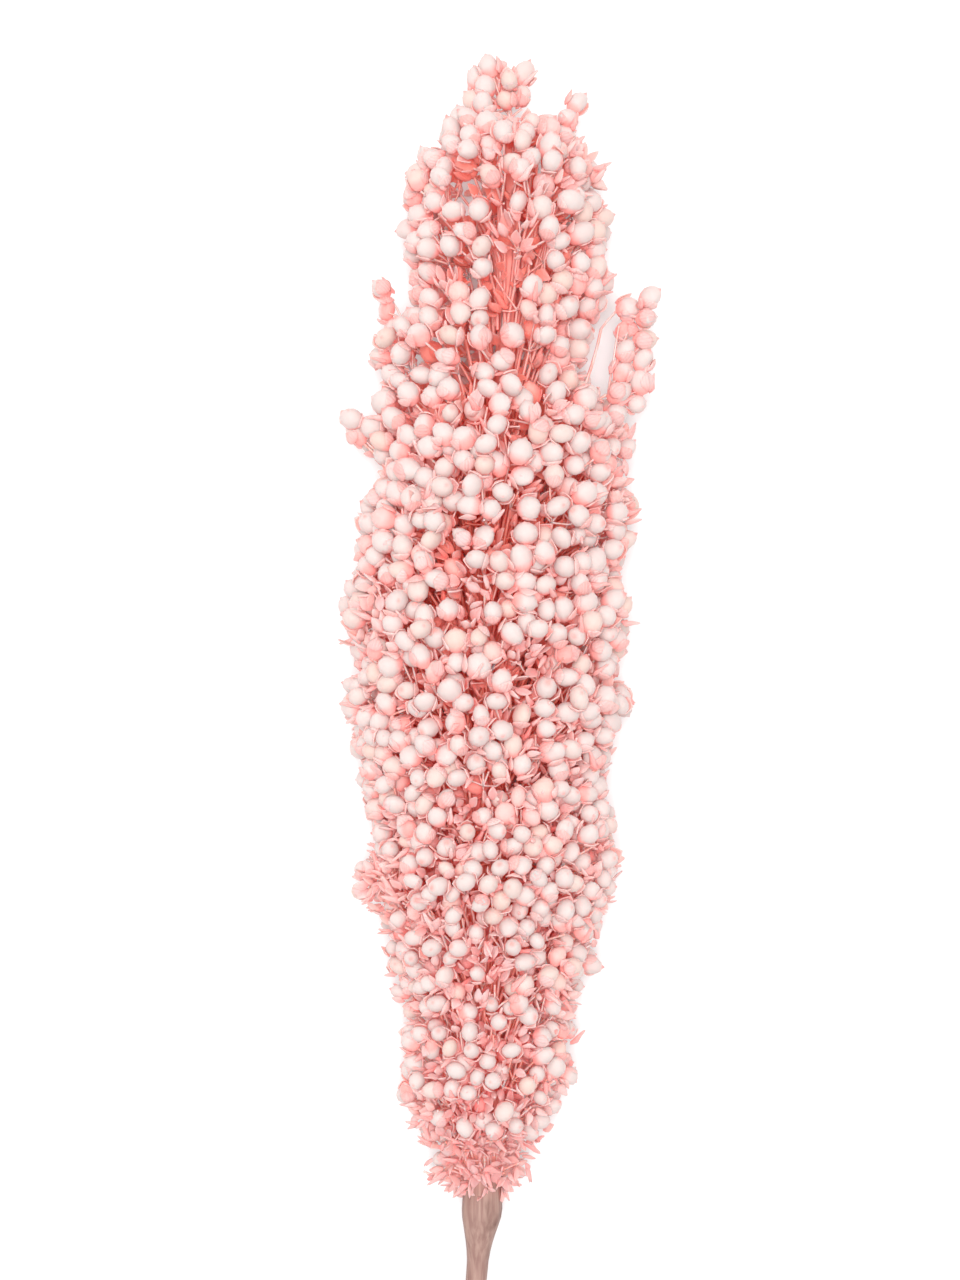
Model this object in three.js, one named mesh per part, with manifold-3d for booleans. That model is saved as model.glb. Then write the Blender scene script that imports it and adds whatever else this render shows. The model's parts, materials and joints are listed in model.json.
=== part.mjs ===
// A dried and dyed sorghum seed head, lying on its side.
//
// Frame: millimetres, +Z up. The head lies along Y, with its tip towards +Y and the cut end of its stem towards -Y.
// The origin is the middle of the bounding box, on the plane that the head rests on.
//
// The head is one grown stalk (the cut stem and, inside the head, the rachis) that carries primary branches in
// whorls. Each branch is one body: a thin stalk that climbs from the rachis to the surface of the head, a woody
// heart, and knots of spikelets, which are the seeds with their husks.

import * as THREE from "three";
import { ConvexGeometry } from "three/addons/geometries/ConvexGeometry.js";
import { mergeVertices } from "three/addons/utils/BufferGeometryUtils.js";
import Module from "manifold-3d";

// ---- Driving dimensions ----

const HEAD_LENGTH = 207; // from the lowest spikelets to the tip
const STEM_LENGTH = 48; // bare stem below the head
const HEIGHT_SHARE = 0.94; // the head's height over its width
const GAP = 0.35; // clearance between neighbouring bodies

// The outline of the head: [distance from its base, radius].
const OUTLINE = [
  [0, 9],
  [5, 11],
  [16, 14.5],
  [34, 16.5],
  [50, 21],
  [62, 24.5],
  [100, 25.5],
  [140, 24.5],
  [155, 20.5],
  [180, 18.5],
  [190, 15],
  [HEAD_LENGTH - 8, 8],
  [HEAD_LENGTH, 4],
];

// The middle line of the stalk: [sideways, distance from the head's base, height].
const MIDDLE_LINE = [
  [-5.5, -STEM_LENGTH, 9],
  [-1.5, 0, 15],
  [-0.8, 50, 19],
  [-0.8, 105, 19.8],
  [2.2, 145, 19.6],
  [4, 180, 18.6],
  [2.5, HEAD_LENGTH, 17],
];

// The radius of the stalk: [distance from the head's base, radius]. It swells into a collar under the head.
const STALK_RADII = [
  [-STEM_LENGTH, 2],
  [-16, 2],
  [-9, 2.4],
  [-3.5, 3.5],
  [0, 3.3],
  [6, 2.7],
  [60, 2.3],
  [140, 1.6],
  [HEAD_LENGTH - 10, 0.9],
];
const STALK_SIDES = 10;
const STALK_STEPS = 28;

const WHORLS = 10;
const FIRST_SEAM = 0.2; // distance of the lowest branches' feet from the head's base
const WHORL_PITCH = 19.6; // distance between the whorls of branches
const SEAM_WAVE = 2.6; // how far the seams between the whorls wave along the head
const SEAM_WAVES = 3; // round the head
const SEAM_TURN = 2.4; // of each seam's waves against those of the seam below, in radians
const BRANCH_WIDTH = 26; // aimed at, round the head
const FEWEST_BRANCHES = 3; // in one whorl

const KNOT_RADIUS = 3.7; // of one knot of spikelets, which are the seeds in their husks
const KNOT_SPACING = 6.2; // between knots side by side
const KNOT_ROWS = 3; // from the foot of a branch to its end
const JITTER = 0.5;
const PAD_SINK = 3.4; // depth of the valleys between the knots under the outline
const PAD_DEPTH = 3; // from those valleys to the inside of the branch's woody heart
const PAD_STEPS = [10, 8]; // facets across a branch and along it
const PAD_ROUNDING = 0.2; // how far the corners of a branch draw in
const INNERMOST = 5.4; // least radius of the inside of a branch's heart

const CLIMB = 19; // how far a branch stalk climbs from the rachis to its knots
const BITE = 1; // how far a stalk's end goes into the heart
const CLEARANCE = 3; // of a stalk's middle under the hearts that it passes
const BRANCH_RADIUS = 0.9;
const BRANCH_TAPER = 0.3;
const BRANCH_SIDES = 4;
const BRANCH_STEPS = 2;

// One branch carries a sprig that stands clear of the head's right side.
const SPRIG_WHORL = 6;
const SPRIG_KNOT_RADIUS = 2.5;
const SPRIG_RADIUS = 0.8;
const SPRIG = [
  [27.4, 139.5],
  [28.2, 145.5],
  [28.2, 151],
  [27.6, 156],
  [28.2, 161],
]; // places of its knots: [sideways, distance from the head's base]

// The rachis ends in a last cluster: places of its knots, [sideways from the middle line, distance, height].
const TIP_KNOT_RADIUS = 3;
const TIP = [
  [-2.4, HEAD_LENGTH - 6, -0.8],
  [2.4, HEAD_LENGTH - 5.8, -0.6],
  [0, HEAD_LENGTH - 5.9, 2.2],
  [0.6, HEAD_LENGTH - 3.4, 0],
];

// ---- Curves that the dimensions give ----

const middleLine = new THREE.CatmullRomCurve3(MIDDLE_LINE.map((point) => new THREE.Vector3(...point)));

// The value at a distance along the head, from a list of [distance, value].
function valueAt(list, distance) {
  const next = list.findIndex(([d]) => d >= distance);
  if (next < 0) return list.at(-1)[1];
  if (next === 0) return list[0][1];
  const [d0, v0] = list[next - 1];
  const [d1, v1] = list[next];
  return THREE.MathUtils.mapLinear(distance, d0, d1, v0, v1);
}

// The point of the middle line at a distance from the head's base.
function middleAt(distance) {
  const halvings = 30;
  let low = 0;
  let high = 1;
  for (let i = 0; i < halvings; i++) {
    const mid = (low + high) / 2;
    if (middleLine.getPoint(mid).y < distance) low = mid;
    else high = mid;
  }
  return middleLine.getPoint(low);
}

// The direction out of the head at an azimuth in radians: 0 is +X and a quarter turn is +Z.
const outwardAt = (azimuth) => new THREE.Vector3(Math.cos(azimuth), 0, HEIGHT_SHARE * Math.sin(azimuth));

// The point at a radius from the middle line.
const pointAt = (distance, azimuth, radius) => middleAt(distance).addScaledVector(outwardAt(azimuth), radius);

// ---- Random numbers that are the same on every run ----

let seed = 20117;
function random() {
  seed = (seed * 1664525 + 1013904223) % 2 ** 32;
  return seed / 2 ** 32;
}
const jitter = (size) => (random() - 0.5) * 2 * size;

// ---- Solids ----

const wasm = await Module();
wasm.setup();

function solidOf(geometry) {
  geometry.deleteAttribute("normal");
  geometry.deleteAttribute("uv");
  const merged = mergeVertices(geometry, 1e-4);
  const mesh = new wasm.Mesh({
    numProp: 3,
    vertProperties: merged.attributes.position.array,
    triVerts: new Uint32Array(merged.index.array),
  });
  return new wasm.Manifold(mesh);
}

function geometryOf(solid) {
  const { vertProperties, triVerts } = solid.getMesh();
  const geometry = new THREE.BufferGeometry();
  geometry.setAttribute("position", new THREE.BufferAttribute(vertProperties, 3));
  geometry.setIndex(new THREE.BufferAttribute(triVerts, 1));
  return geometry.toNonIndexed();
}

// A closed tube along a curve, whose radius changes along it.
function tube(curve, radiusAt, sides, steps) {
  const geometry = new THREE.CylinderGeometry(1, 1, 1, sides, steps);
  const frames = curve.computeFrenetFrames(steps);
  const position = geometry.attributes.position;
  for (let i = 0; i < position.count; i++) {
    const along = position.getY(i) + 0.5;
    const step = Math.round(along * steps);
    const radius = radiusAt(along);
    const point = curve
      .getPoint(along)
      .addScaledVector(frames.normals[step], position.getX(i) * radius)
      .addScaledVector(frames.binormals[step], -position.getZ(i) * radius);
    position.setXYZ(i, point.x, point.y, point.z);
  }
  return solidOf(geometry);
}

// One knot of spikelets: a faceted ball, turned at random.
function knot(centre, radius) {
  const geometry = new THREE.IcosahedronGeometry(radius, 0);
  geometry.rotateX(jitter(Math.PI));
  geometry.rotateZ(jitter(Math.PI));
  geometry.translate(...centre.toArray());
  return solidOf(geometry);
}

const joined = (solids) => solids.reduce((sum, solid) => sum.add(solid));

// The space under the surface that the head rests on, which flattens the branches underneath.
function underTheSurface() {
  const size = 3 * HEAD_LENGTH;
  const geometry = new THREE.BoxGeometry(size, size, size);
  geometry.translate(0, 0, -size / 2);
  return solidOf(geometry);
}
const under = underTheSurface();

// ---- The pieces ----

// The stalk: the cut stem, its collar and the rachis, as one grown piece.
function makeStalk() {
  const spacing = 8;
  const [end] = STALK_RADII.at(-1);
  const points = [];
  for (let d = -STEM_LENGTH; d < end - spacing / 2; d += spacing) points.push(middleAt(d));
  const curve = new THREE.CatmullRomCurve3([...points, middleAt(end)]);
  const radiusAt = (along) => valueAt(STALK_RADII, curve.getPoint(along).y);
  return tube(curve, radiusAt, STALK_SIDES, STALK_STEPS);
}

// The distance along the head of the seam below a whorl, at an azimuth. The first and last seams run straight.
function seamAt(whorl, azimuth) {
  const wave = whorl > 0 && whorl < WHORLS ? SEAM_WAVE * Math.sin(SEAM_WAVES * azimuth + SEAM_TURN * whorl) : 0;
  return FIRST_SEAM + whorl * WHORL_PITCH + wave;
}

// The radius of the inside of the branches' hearts at a distance along the head.
const heartInside = (distance) => Math.max(valueAt(OUTLINE, distance) - PAD_SINK - PAD_DEPTH, INNERMOST);

// The stalk of a branch: it climbs beside the rachis to the branch's own whorl, then leans out to its heart.
function branchStalk({ distance, azimuth }) {
  const foot = Math.max(distance - CLIMB, 1);
  const waist = distance - WHORL_PITCH / 2;
  const beside = (valueAt(STALK_RADII, foot) + BRANCH_RADIUS + GAP) / HEIGHT_SHARE;
  const out = heartInside(distance) + BITE;
  const between = Math.min((beside + out) / 2, heartInside(waist) - CLEARANCE);
  const points = [pointAt(foot, azimuth, beside)];
  if (waist > foot) points.push(pointAt(waist, azimuth, Math.max(between, beside)));
  points.push(pointAt(distance, azimuth, out));
  const curve = new THREE.CatmullRomCurve3(points);
  return tube(curve, (along) => BRANCH_RADIUS * (1 - BRANCH_TAPER * along), BRANCH_SIDES, BRANCH_STEPS);
}

// The places of a branch's knots on its pad, in staggered rows: [across, along] in millimetres from its middle.
function knotPlaces(halfWidth, halfLength) {
  const places = [];
  for (let row = 0; row < KNOT_ROWS; row++) {
    const along = ((2 * row + 1) / KNOT_ROWS - 1) * halfLength;
    const inRow = Math.max(Math.round((2 * halfWidth) / KNOT_SPACING) - (row % 2), 1);
    for (let i = 0; i < inRow; i++) {
      const across = ((2 * i + 1) / inRow - 1) * halfWidth;
      places.push([across + jitter(JITTER), along + jitter(JITTER)]);
    }
  }
  return places;
}

// How far the knots rise over a place on the pad.
function rise(places, across, along) {
  const nearest = Math.min(...places.map(([x, y]) => Math.hypot(across - x, along - y)));
  return Math.sqrt(Math.max(KNOT_RADIUS ** 2 - nearest ** 2, 0));
}

// The pad of a branch: its knots side by side on a curved heart that fills the branch's own room in its whorl.
function padOf({ whorl, distance, azimuth, share }) {
  const [columns, rows] = PAD_STEPS;
  const halfLength = WHORL_PITCH / 2;
  const flatRadius = (valueAt(OUTLINE, distance) - PAD_SINK) * HEIGHT_SHARE;
  const places = knotPlaces(share * flatRadius, halfLength);
  const draw = (one, other) => one * (1 - PAD_ROUNDING * other ** 2 * Math.abs(one));
  const pointOn = (column, row, lift) => {
    const u = draw((2 * column) / columns - 1, (2 * row) / rows - 1);
    const v = draw((2 * row) / rows - 1, (2 * column) / columns - 1);
    const turn = azimuth + u * (share - GAP / 2 / (heartInside(distance) * HEIGHT_SHARE));
    const foot = seamAt(whorl, turn) + GAP / 2;
    const end = seamAt(whorl + 1, turn) - GAP / 2;
    const s = THREE.MathUtils.lerp(foot, end, (v + 1) / 2);
    const height = lift ? PAD_DEPTH + rise(places, u * share * flatRadius, v * halfLength) : 0;
    return pointAt(s, turn, heartInside(s) + height);
  };
  return solidOf(sheetWithBack(columns, rows, pointOn));
}

// A closed body: a grid of lifted points in front, a rim, and a fan of unlifted points behind.
function sheetWithBack(columns, rows, pointOn) {
  const triangles = [];
  const quad = (a, b, c, d) => triangles.push(a, b, c, a, c, d);
  for (let row = 0; row < rows; row++)
    for (let column = 0; column < columns; column++)
      quad(
        pointOn(column, row, true),
        pointOn(column, row + 1, true),
        pointOn(column + 1, row + 1, true),
        pointOn(column + 1, row, true),
      );
  const rim = [];
  for (let column = 0; column < columns; column++) rim.push([column, 0]);
  for (let row = 0; row < rows; row++) rim.push([columns, row]);
  for (let column = columns; column > 0; column--) rim.push([column, rows]);
  for (let row = rows; row > 0; row--) rim.push([0, row]);
  const behind = pointOn(columns / 2, rows / 2, false);
  rim.forEach(([column, row], i) => {
    const [nextColumn, nextRow] = rim[(i + 1) % rim.length];
    const front = pointOn(column, row, true);
    const nextFront = pointOn(nextColumn, nextRow, true);
    const back = pointOn(column, row, false);
    const nextBack = pointOn(nextColumn, nextRow, false);
    quad(front, nextFront, nextBack, back);
    triangles.push(back, nextBack, behind);
  });
  return new THREE.BufferGeometry().setFromPoints(triangles);
}

function makeBranch(branch) {
  const pieces = [padOf(branch), branchStalk(branch)];
  if (branch.sprig) pieces.push(...sprigFrom(branch));
  return joined(pieces).subtract(under);
}

// The sprig: a thin stalk from the heart of its branch, with knots of its own.
function sprigFrom({ distance, azimuth }) {
  const root = pointAt(distance, azimuth, heartInside(distance) + BITE);
  const centres = SPRIG.map(([x, s]) => new THREE.Vector3(x, s, middleAt(s).z));
  const curve = new THREE.CatmullRomCurve3([root, ...centres]);
  const stalk = tube(curve, () => SPRIG_RADIUS, BRANCH_SIDES, SPRIG.length);
  return [stalk, ...centres.map((centre) => knot(centre, SPRIG_KNOT_RADIUS))];
}

// The last cluster, on the tip of the rachis.
function makeTip() {
  const centres = TIP.map(([x, s, z]) => middleAt(s).add(new THREE.Vector3(x, 0, z)));
  return joined(centres.map((centre) => knot(centre, TIP_KNOT_RADIUS)));
}

// The whorls, each turned by half a branch from the one below it.
function layOutBranches() {
  const branches = [];
  for (let whorl = 0; whorl < WHORLS; whorl++) {
    const distance = FIRST_SEAM + (whorl + 0.5) * WHORL_PITCH;
    const around = 2 * Math.PI * valueAt(OUTLINE, distance);
    const count = Math.max(FEWEST_BRANCHES, Math.round(around / BRANCH_WIDTH));
    const share = Math.PI / count;
    for (let i = 0; i < count; i++) {
      const azimuth = (2 * i + (whorl % 2)) * share;
      branches.push({ whorl, distance, azimuth, share, sprig: whorl === SPRIG_WHORL && i === 0 });
    }
  }
  return branches;
}

const stalkFinish = new THREE.MeshStandardMaterial({ color: 0xb78e80, roughness: 0.75, metalness: 0 });
const branchFinish = new THREE.MeshStandardMaterial({ color: 0xeec0b8, roughness: 0.6, metalness: 0 });

function meshOf(name, solid, finish) {
  const mesh = new THREE.Mesh(geometryOf(solid), finish);
  mesh.name = name;
  return mesh;
}

const seedHead = new THREE.Group();
seedHead.add(meshOf("stem_and_rachis", makeStalk(), stalkFinish));
layOutBranches().forEach((branch, i) => {
  const number = String(i + 1).padStart(2, "0");
  seedHead.add(meshOf(`branch_${number}`, makeBranch(branch), branchFinish));
});
seedHead.add(meshOf("tip_cluster", makeTip(), branchFinish));

const box = new THREE.Box3().setFromObject(seedHead);
const centre = box.getCenter(new THREE.Vector3());
seedHead.position.set(-centre.x, -centre.y, -box.min.z);

export default seedHead;
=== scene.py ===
"""A dried and dyed sorghum seed head lying on its side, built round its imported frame."""

import json
import logging
import math
from collections.abc import Callable, Iterator
from contextlib import contextmanager
from dataclasses import dataclass, field
from enum import Enum

import bmesh
import bpy
import numpy as np
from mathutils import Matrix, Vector
from mathutils.kdtree import KDTree

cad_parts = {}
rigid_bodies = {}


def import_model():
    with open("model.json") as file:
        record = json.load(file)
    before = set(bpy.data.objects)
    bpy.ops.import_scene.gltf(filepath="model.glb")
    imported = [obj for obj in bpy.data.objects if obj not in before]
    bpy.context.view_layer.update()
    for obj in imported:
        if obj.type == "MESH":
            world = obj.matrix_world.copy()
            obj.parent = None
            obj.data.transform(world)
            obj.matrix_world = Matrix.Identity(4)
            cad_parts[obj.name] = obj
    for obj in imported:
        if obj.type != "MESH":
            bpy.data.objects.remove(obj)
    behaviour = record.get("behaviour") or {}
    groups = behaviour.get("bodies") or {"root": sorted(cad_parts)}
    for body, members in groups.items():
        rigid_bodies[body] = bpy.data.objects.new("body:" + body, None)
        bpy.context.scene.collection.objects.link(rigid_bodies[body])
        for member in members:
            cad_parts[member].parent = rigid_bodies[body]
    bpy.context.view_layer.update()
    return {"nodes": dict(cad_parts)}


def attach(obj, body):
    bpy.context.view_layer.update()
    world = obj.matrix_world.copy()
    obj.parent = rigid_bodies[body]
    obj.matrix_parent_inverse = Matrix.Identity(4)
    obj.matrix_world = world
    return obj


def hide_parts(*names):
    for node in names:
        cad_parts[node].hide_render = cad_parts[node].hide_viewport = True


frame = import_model()

log = logging.getLogger("sorghum")

MM = 0.001
ROOT_BODY = "root"
STEM_NODE = "stem_and_rachis"
FULL_DEPTH = 14.0  # millimetres under the outside where the depth mark reaches 1
RNG = np.random.default_rng(731)

Points = np.ndarray
Node = bpy.types.ShaderNode
Socket = bpy.types.NodeSocket


class Slot(Enum):
    """The record's material slots."""

    STEM = "stem"
    BRANCHLET = "branchlet"
    HUSK = "husk"
    SEED = "grain"


class Mark(Enum):
    """The attributes that the pieces' meshes carry for their finishes."""

    LEAF = "leaf"
    TINT = "tint"
    # How far under the outside a point lies; the finishes paint shade deep in the head with it.
    DEPTH = "depth"


# ---- Small tools ----


def unit(vectors: Points) -> Points:
    """Vectors at length one.

    Args:
        vectors: rows of x, y, z.

    Returns:
        The rows, each divided by its length.
    """
    return vectors / np.maximum(np.linalg.norm(vectors, axis=-1, keepdims=True), 1e-9)


def smooth_step(value: Points, low: float, high: float) -> Points:
    """A soft step.

    Args:
        value: where to read it.
        low: the value up to which it is 0.
        high: the value from which it is 1.

    Returns:
        The step's height at each value.
    """
    t = np.clip((value - low) / (high - low), 0.0, 1.0)
    return t * t * (3.0 - 2.0 * t)


def read_table(table: tuple[tuple[float, ...], ...], at: Points, column: int = 1) -> Points:
    """Reads a table between its rows.

    Args:
        table: rows that start with where they stand.
        at: where to read it.
        column: which number of a row to read.

    Returns:
        The values there.
    """
    rows = np.array(table)
    return np.interp(at, rows[:, 0], rows[:, column])


def catmull_rom(knots: Points, per_span: int) -> Points:
    """A smooth curve through knots.

    Args:
        knots: rows of x, y, z.
        per_span: the number of points between two knots.

    Returns:
        Points along the curve, its two ends included.
    """
    padded = np.vstack([2 * knots[0] - knots[1], knots, 2 * knots[-1] - knots[-2]])
    t = np.linspace(0.0, 1.0, per_span, endpoint=False)[:, None]
    spans = []
    for a, b, c, d in zip(padded, padded[1:], padded[2:], padded[3:]):
        cubic = (3 * b - a - 3 * c + d) * t**3
        square = (2 * a - 5 * b + 4 * c - d) * t**2
        spans.append(0.5 * (cubic + square + (c - a) * t + 2 * b))
    return np.vstack([*spans, knots[-1:]])


# ---- The form of the head ----


@dataclass(frozen=True)
class HeadForm:
    """The head's form, in millimetres: x sideways, y from the head's base to its tip, z above the surface.

    The frame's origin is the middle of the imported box, so the head's base lies at base_x and base_y in it.
    """

    base_x: float = -2.0266
    base_y: float = -78.9493
    length: float = 207.0
    stem_length: float = 48.0
    height_share: float = 0.94
    clump_height: float = 1.4
    middle_line: tuple[tuple[float, float, float], ...] = (
        (-5.5, -48.0, 9.0), (-1.5, 0.0, 15.0), (-0.8, 50.0, 19.0), (-0.8, 105.0, 19.8), (2.2, 145.0, 19.6),
        (4.0, 180.0, 18.6), (2.5, 207.0, 17.0),
    )
    # Distance from the base, then the radius on the left and on the right.
    outline: tuple[tuple[float, float, float], ...] = (
        (0.0, 4.5, 4.5), (3.5, 8.5, 8.0), (6.0, 11.5, 9.5), (10.0, 10.0, 9.0), (14.0, 14.5, 12.5),
        (20.0, 16.5, 15.3), (28.0, 16.0, 16.8), (36.0, 16.0, 17.4), (42.0, 17.8, 20.2), (50.0, 20.2, 21.6),
        (55.0, 22.8, 23.6), (60.0, 25.4, 25.8), (64.5, 21.2, 24.6), (68.0, 22.2, 26.0), (73.0, 23.4, 22.0),
        (82.0, 24.2, 23.8), (91.0, 26.2, 26.6), (96.0, 24.0, 25.4), (104.0, 26.8, 26.4),
        (113.0, 25.6, 24.6), (127.0, 23.2, 26.4), (134.0, 23.0, 23.8), (138.0, 25.0, 24.4),
        (142.0, 23.4, 23.4), (146.0, 23.6, 18.0), (150.0, 23.4, 14.6), (154.5, 25.8, 14.8),
        (157.5, 23.4, 15.6), (160.0, 18.4, 17.4), (165.0, 18.4, 19.2), (168.5, 19.8, 18.8),
        (172.0, 20.8, 17.6), (175.5, 20.4, 18.6), (181.0, 20.2, 16.2), (185.0, 19.8, 16.8),
        (190.5, 15.6, 16.6), (194.5, 12.4, 8.8), (197.0, 9.8, 4.8), (199.0, 8.8, 4.2), (203.0, 7.6, 4.8),
        (206.0, 6.2, 4.4), (208.0, 4.5, 3.4),
    )

    def middle(self, along: Points) -> Points:
        """The middle line.

        Args:
            along: distances from the head's base.

        Returns:
            The middle line's points there.
        """
        curve = catmull_rom(np.array(self.middle_line), 12)
        x = np.interp(along, curve[:, 1], curve[:, 0])
        z = np.interp(along, curve[:, 1], curve[:, 2])
        return np.stack([x, np.asarray(along, float) + 0 * x, z], axis=-1)

    def radius(self, along: Points, azimuth: Points) -> Points:
        """The head's radius.

        Args:
            along: distances from the head's base.
            azimuth: angles round the middle line, 0 to the right and a quarter turn up.

        Returns:
            The distances from the middle line to the outside.
        """
        left = read_table(self.outline, along)
        right = read_table(self.outline, along, 2)
        wide = np.where(np.cos(azimuth) > 0, right, left)
        high = self.height_share * 0.5 * (left + right)
        return 1.0 / np.sqrt((np.cos(azimuth) / wide) ** 2 + (np.sin(azimuth) / high) ** 2)

    def relief(self, along: Points, azimuth: Points) -> Points:
        """How far the clumps of spikelets rise and fall.

        Args:
            along: distances from the head's base.
            azimuth: angles round the middle line.

        Returns:
            Heights, above and below nought.
        """
        wave = np.sin(0.52 * along + 2.3 * np.sin(2 * azimuth + 0.06 * along))
        ripple = np.sin(4 * azimuth + 0.23 * along + 1.7 * np.sin(0.31 * along))
        return self.clump_height * wave * ripple

    def at(self, along: Points, azimuth: Points, depth: Points) -> Points:
        """Points in the head.

        Args:
            along: distances from the head's base.
            azimuth: angles round the middle line.
            depth: how far they lie under the outside.

        Returns:
            Rows of x, y, z.
        """
        reach = np.maximum(self.radius(along, azimuth) - depth, 0.0)
        out = np.stack([np.cos(azimuth), 0 * azimuth, np.sin(azimuth)], axis=-1)
        return self.middle(along) + out * reach[..., None]

    def azimuth_of(self, points: Points) -> Points:
        """The angles round the middle line of points in the head."""
        off = points - self.middle(points[:, 1])
        return np.arctan2(off[:, 2], off[:, 0])

    def depth_of(self, points: Points) -> Points:
        """How far under the outside of the head each point lies."""
        off = points - self.middle(points[:, 1])
        reach = np.hypot(off[:, 0], off[:, 2])
        return self.radius(points[:, 1], np.arctan2(off[:, 2], off[:, 0])) - reach

    def outward(self, points: Points) -> Points:
        """The unit vectors out of the head at points in it.

        Args:
            points: rows of x, y, z.

        Returns:
            Rows at right angles to the middle line, flatter where the head is flattened.
        """
        off = points - self.middle(points[:, 1])
        off[:, 1] = 0.0
        off[:, 2] /= self.height_share
        return unit(off)

    def to_frame(self, points: Points) -> Points:
        """The points in metres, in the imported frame."""
        return (points + np.array([self.base_x, self.base_y, 0.0])) * MM

    def from_frame(self, points: Points) -> Points:
        """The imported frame's points in millimetres, in the head's own axes."""
        return points / MM - np.array([self.base_x, self.base_y, 0.0])


# ---- Modelling ----


@dataclass(frozen=True)
class Shape:
    """One modelled shape: its points in millimetres, its faces and its leaf marks (across, along, 0)."""

    points: Points
    corners: Points
    sizes: Points
    leaf: Points


class Bench:
    """Where shapes are modelled: one object at a time, in millimetres, round the origin."""

    @staticmethod
    def clear() -> None:
        """Leaves nothing selected."""
        for obj in bpy.context.selected_objects:
            obj.select_set(False)

    @staticmethod
    def begin(name: str) -> bpy.types.Object:
        """Names the primitive that was just added.

        Args:
            name: its working name.

        Returns:
            The object.
        """
        obj = bpy.context.active_object
        obj.name = name
        return obj

    @staticmethod
    @contextmanager
    def editing(obj: bpy.types.Object) -> Iterator[bpy.types.Object]:
        """Edit mode for the length of a with block.

        Args:
            obj: the object to edit.

        Yields:
            The same object.
        """
        bpy.context.view_layer.objects.active = obj
        bpy.ops.object.mode_set(mode="EDIT")
        yield obj
        bpy.ops.object.mode_set(mode="OBJECT")

    @staticmethod
    def pick(obj: bpy.types.Object, test: Callable[[Vector], bool]) -> None:
        """Selects the vertices that a test picks, in edit mode.

        Args:
            obj: the object in edit mode.
            test: takes a vertex's place.
        """
        bpy.ops.mesh.select_mode(type="VERT")
        mesh = bmesh.from_edit_mesh(obj.data)
        for face in mesh.faces:
            face.select = False
        for edge in mesh.edges:
            edge.select = False
        for vertex in mesh.verts:
            vertex.select = bool(test(vertex.co))
        mesh.select_flush(True)
        bmesh.update_edit_mesh(obj.data)

    @staticmethod
    def resize(scale: tuple[float, float, float], centre: tuple[float, float, float]) -> None:
        """Scales what is selected about a centre."""
        bpy.ops.transform.resize(value=scale, center_override=centre)

    @staticmethod
    def move(step: tuple[float, float, float]) -> None:
        """Moves what is selected."""
        bpy.ops.transform.translate(value=step)

    @staticmethod
    def apply(obj: bpy.types.Object, kind: str, **settings: object) -> None:
        """Adds a modifier and applies it.

        Args:
            obj: the object.
            kind: Blender's name of the modifier.
            **settings: the modifier's settings.
        """
        bpy.context.view_layer.objects.active = obj
        modifier = obj.modifiers.new(kind.title(), kind)
        for key, value in settings.items():
            setattr(modifier, key, value)
        bpy.ops.object.modifier_apply(modifier=modifier.name)

    @staticmethod
    def mark_leaf(obj: bpy.types.Object, across: float, foot: float, tip: float) -> None:
        """Marks each vertex with its place on the shape, before the shape is bent.

        Args:
            obj: the object, upright along z.
            across: the half width that counts as 1.
            foot: the height that counts as 0 along.
            tip: the height that counts as 1 along.
        """
        mark = obj.data.attributes.new(Mark.LEAF.value, "FLOAT_VECTOR", "POINT")
        for i, vertex in enumerate(obj.data.vertices):
            mark.data[i].vector = (vertex.co.y / across, (vertex.co.z - foot) / (tip - foot), 0.0)

    @staticmethod
    def take(obj: bpy.types.Object) -> Shape:
        """Reads a finished shape and clears it off the bench.

        Args:
            obj: the modelled object.

        Returns:
            Its shape.
        """
        mesh = obj.data
        points = np.empty(len(mesh.vertices) * 3)
        mesh.vertices.foreach_get("co", points)
        corners = np.empty(len(mesh.loops), np.int64)
        mesh.loops.foreach_get("vertex_index", corners)
        sizes = np.array([len(p.vertices) for p in mesh.polygons], np.int64)
        leaf = np.empty(len(mesh.vertices) * 3)
        mesh.attributes[Mark.LEAF.value].data.foreach_get("vector", leaf)
        bpy.data.objects.remove(obj, do_unlink=True)
        bpy.data.meshes.remove(mesh)
        return Shape(points.reshape(-1, 3), corners, sizes, leaf.reshape(-1, 3))


@dataclass(frozen=True)
class SeedPattern:
    """A seed: an egg with a small beak, its middle at the origin and its beak up. Sizes in millimetres."""

    radius: float = 2.2
    width_share: float = 0.96
    thickness_share: float = 0.9
    length_share: float = 1.0
    beak: float = 0.4
    beak_inset: float = 0.5
    sides: int = 10
    rings: int = 6
    skew: float = 0.0
    crease: float = 0.0

    def model(self) -> Shape:
        """Models the seed.

        Returns:
            Its shape.
        """
        Bench.clear()
        bpy.ops.mesh.primitive_uv_sphere_add(
            segments=self.sides, ring_count=self.rings, radius=self.radius, location=(0, 0, 0)
        )
        seed = Bench.begin("seed")
        pole = self.radius * 0.99
        with Bench.editing(seed):
            bpy.ops.mesh.select_mode(type="VERT")
            Bench.pick(seed, lambda co: co.z > pole)
            bpy.ops.mesh.select_more()
            bpy.ops.mesh.inset(thickness=self.beak_inset)
            Bench.pick(seed, lambda co: co.z > pole)
            Bench.move((0, 0, self.beak))
            Bench.pick(seed, lambda co: co.z < -0.3 * self.radius)
            Bench.resize((0.93, 0.93, 1.04), (0, 0, 0))
            Bench.pick(seed, lambda co: abs(co.z) < 0.6 * self.radius)
            Bench.move((self.skew, 0, 0))
            if self.crease:
                Bench.pick(seed, lambda co: co.x > 0.4 and abs(co.y) < 0.1)
                Bench.resize((1 - self.crease, 1, 1), (0, 0, 0))
            bpy.ops.mesh.select_all(action="SELECT")
            Bench.resize((self.width_share, self.thickness_share, self.length_share), (0, 0, 0))
        Bench.mark_leaf(seed, self.radius, -self.radius, self.radius)
        return Bench.take(seed)


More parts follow.
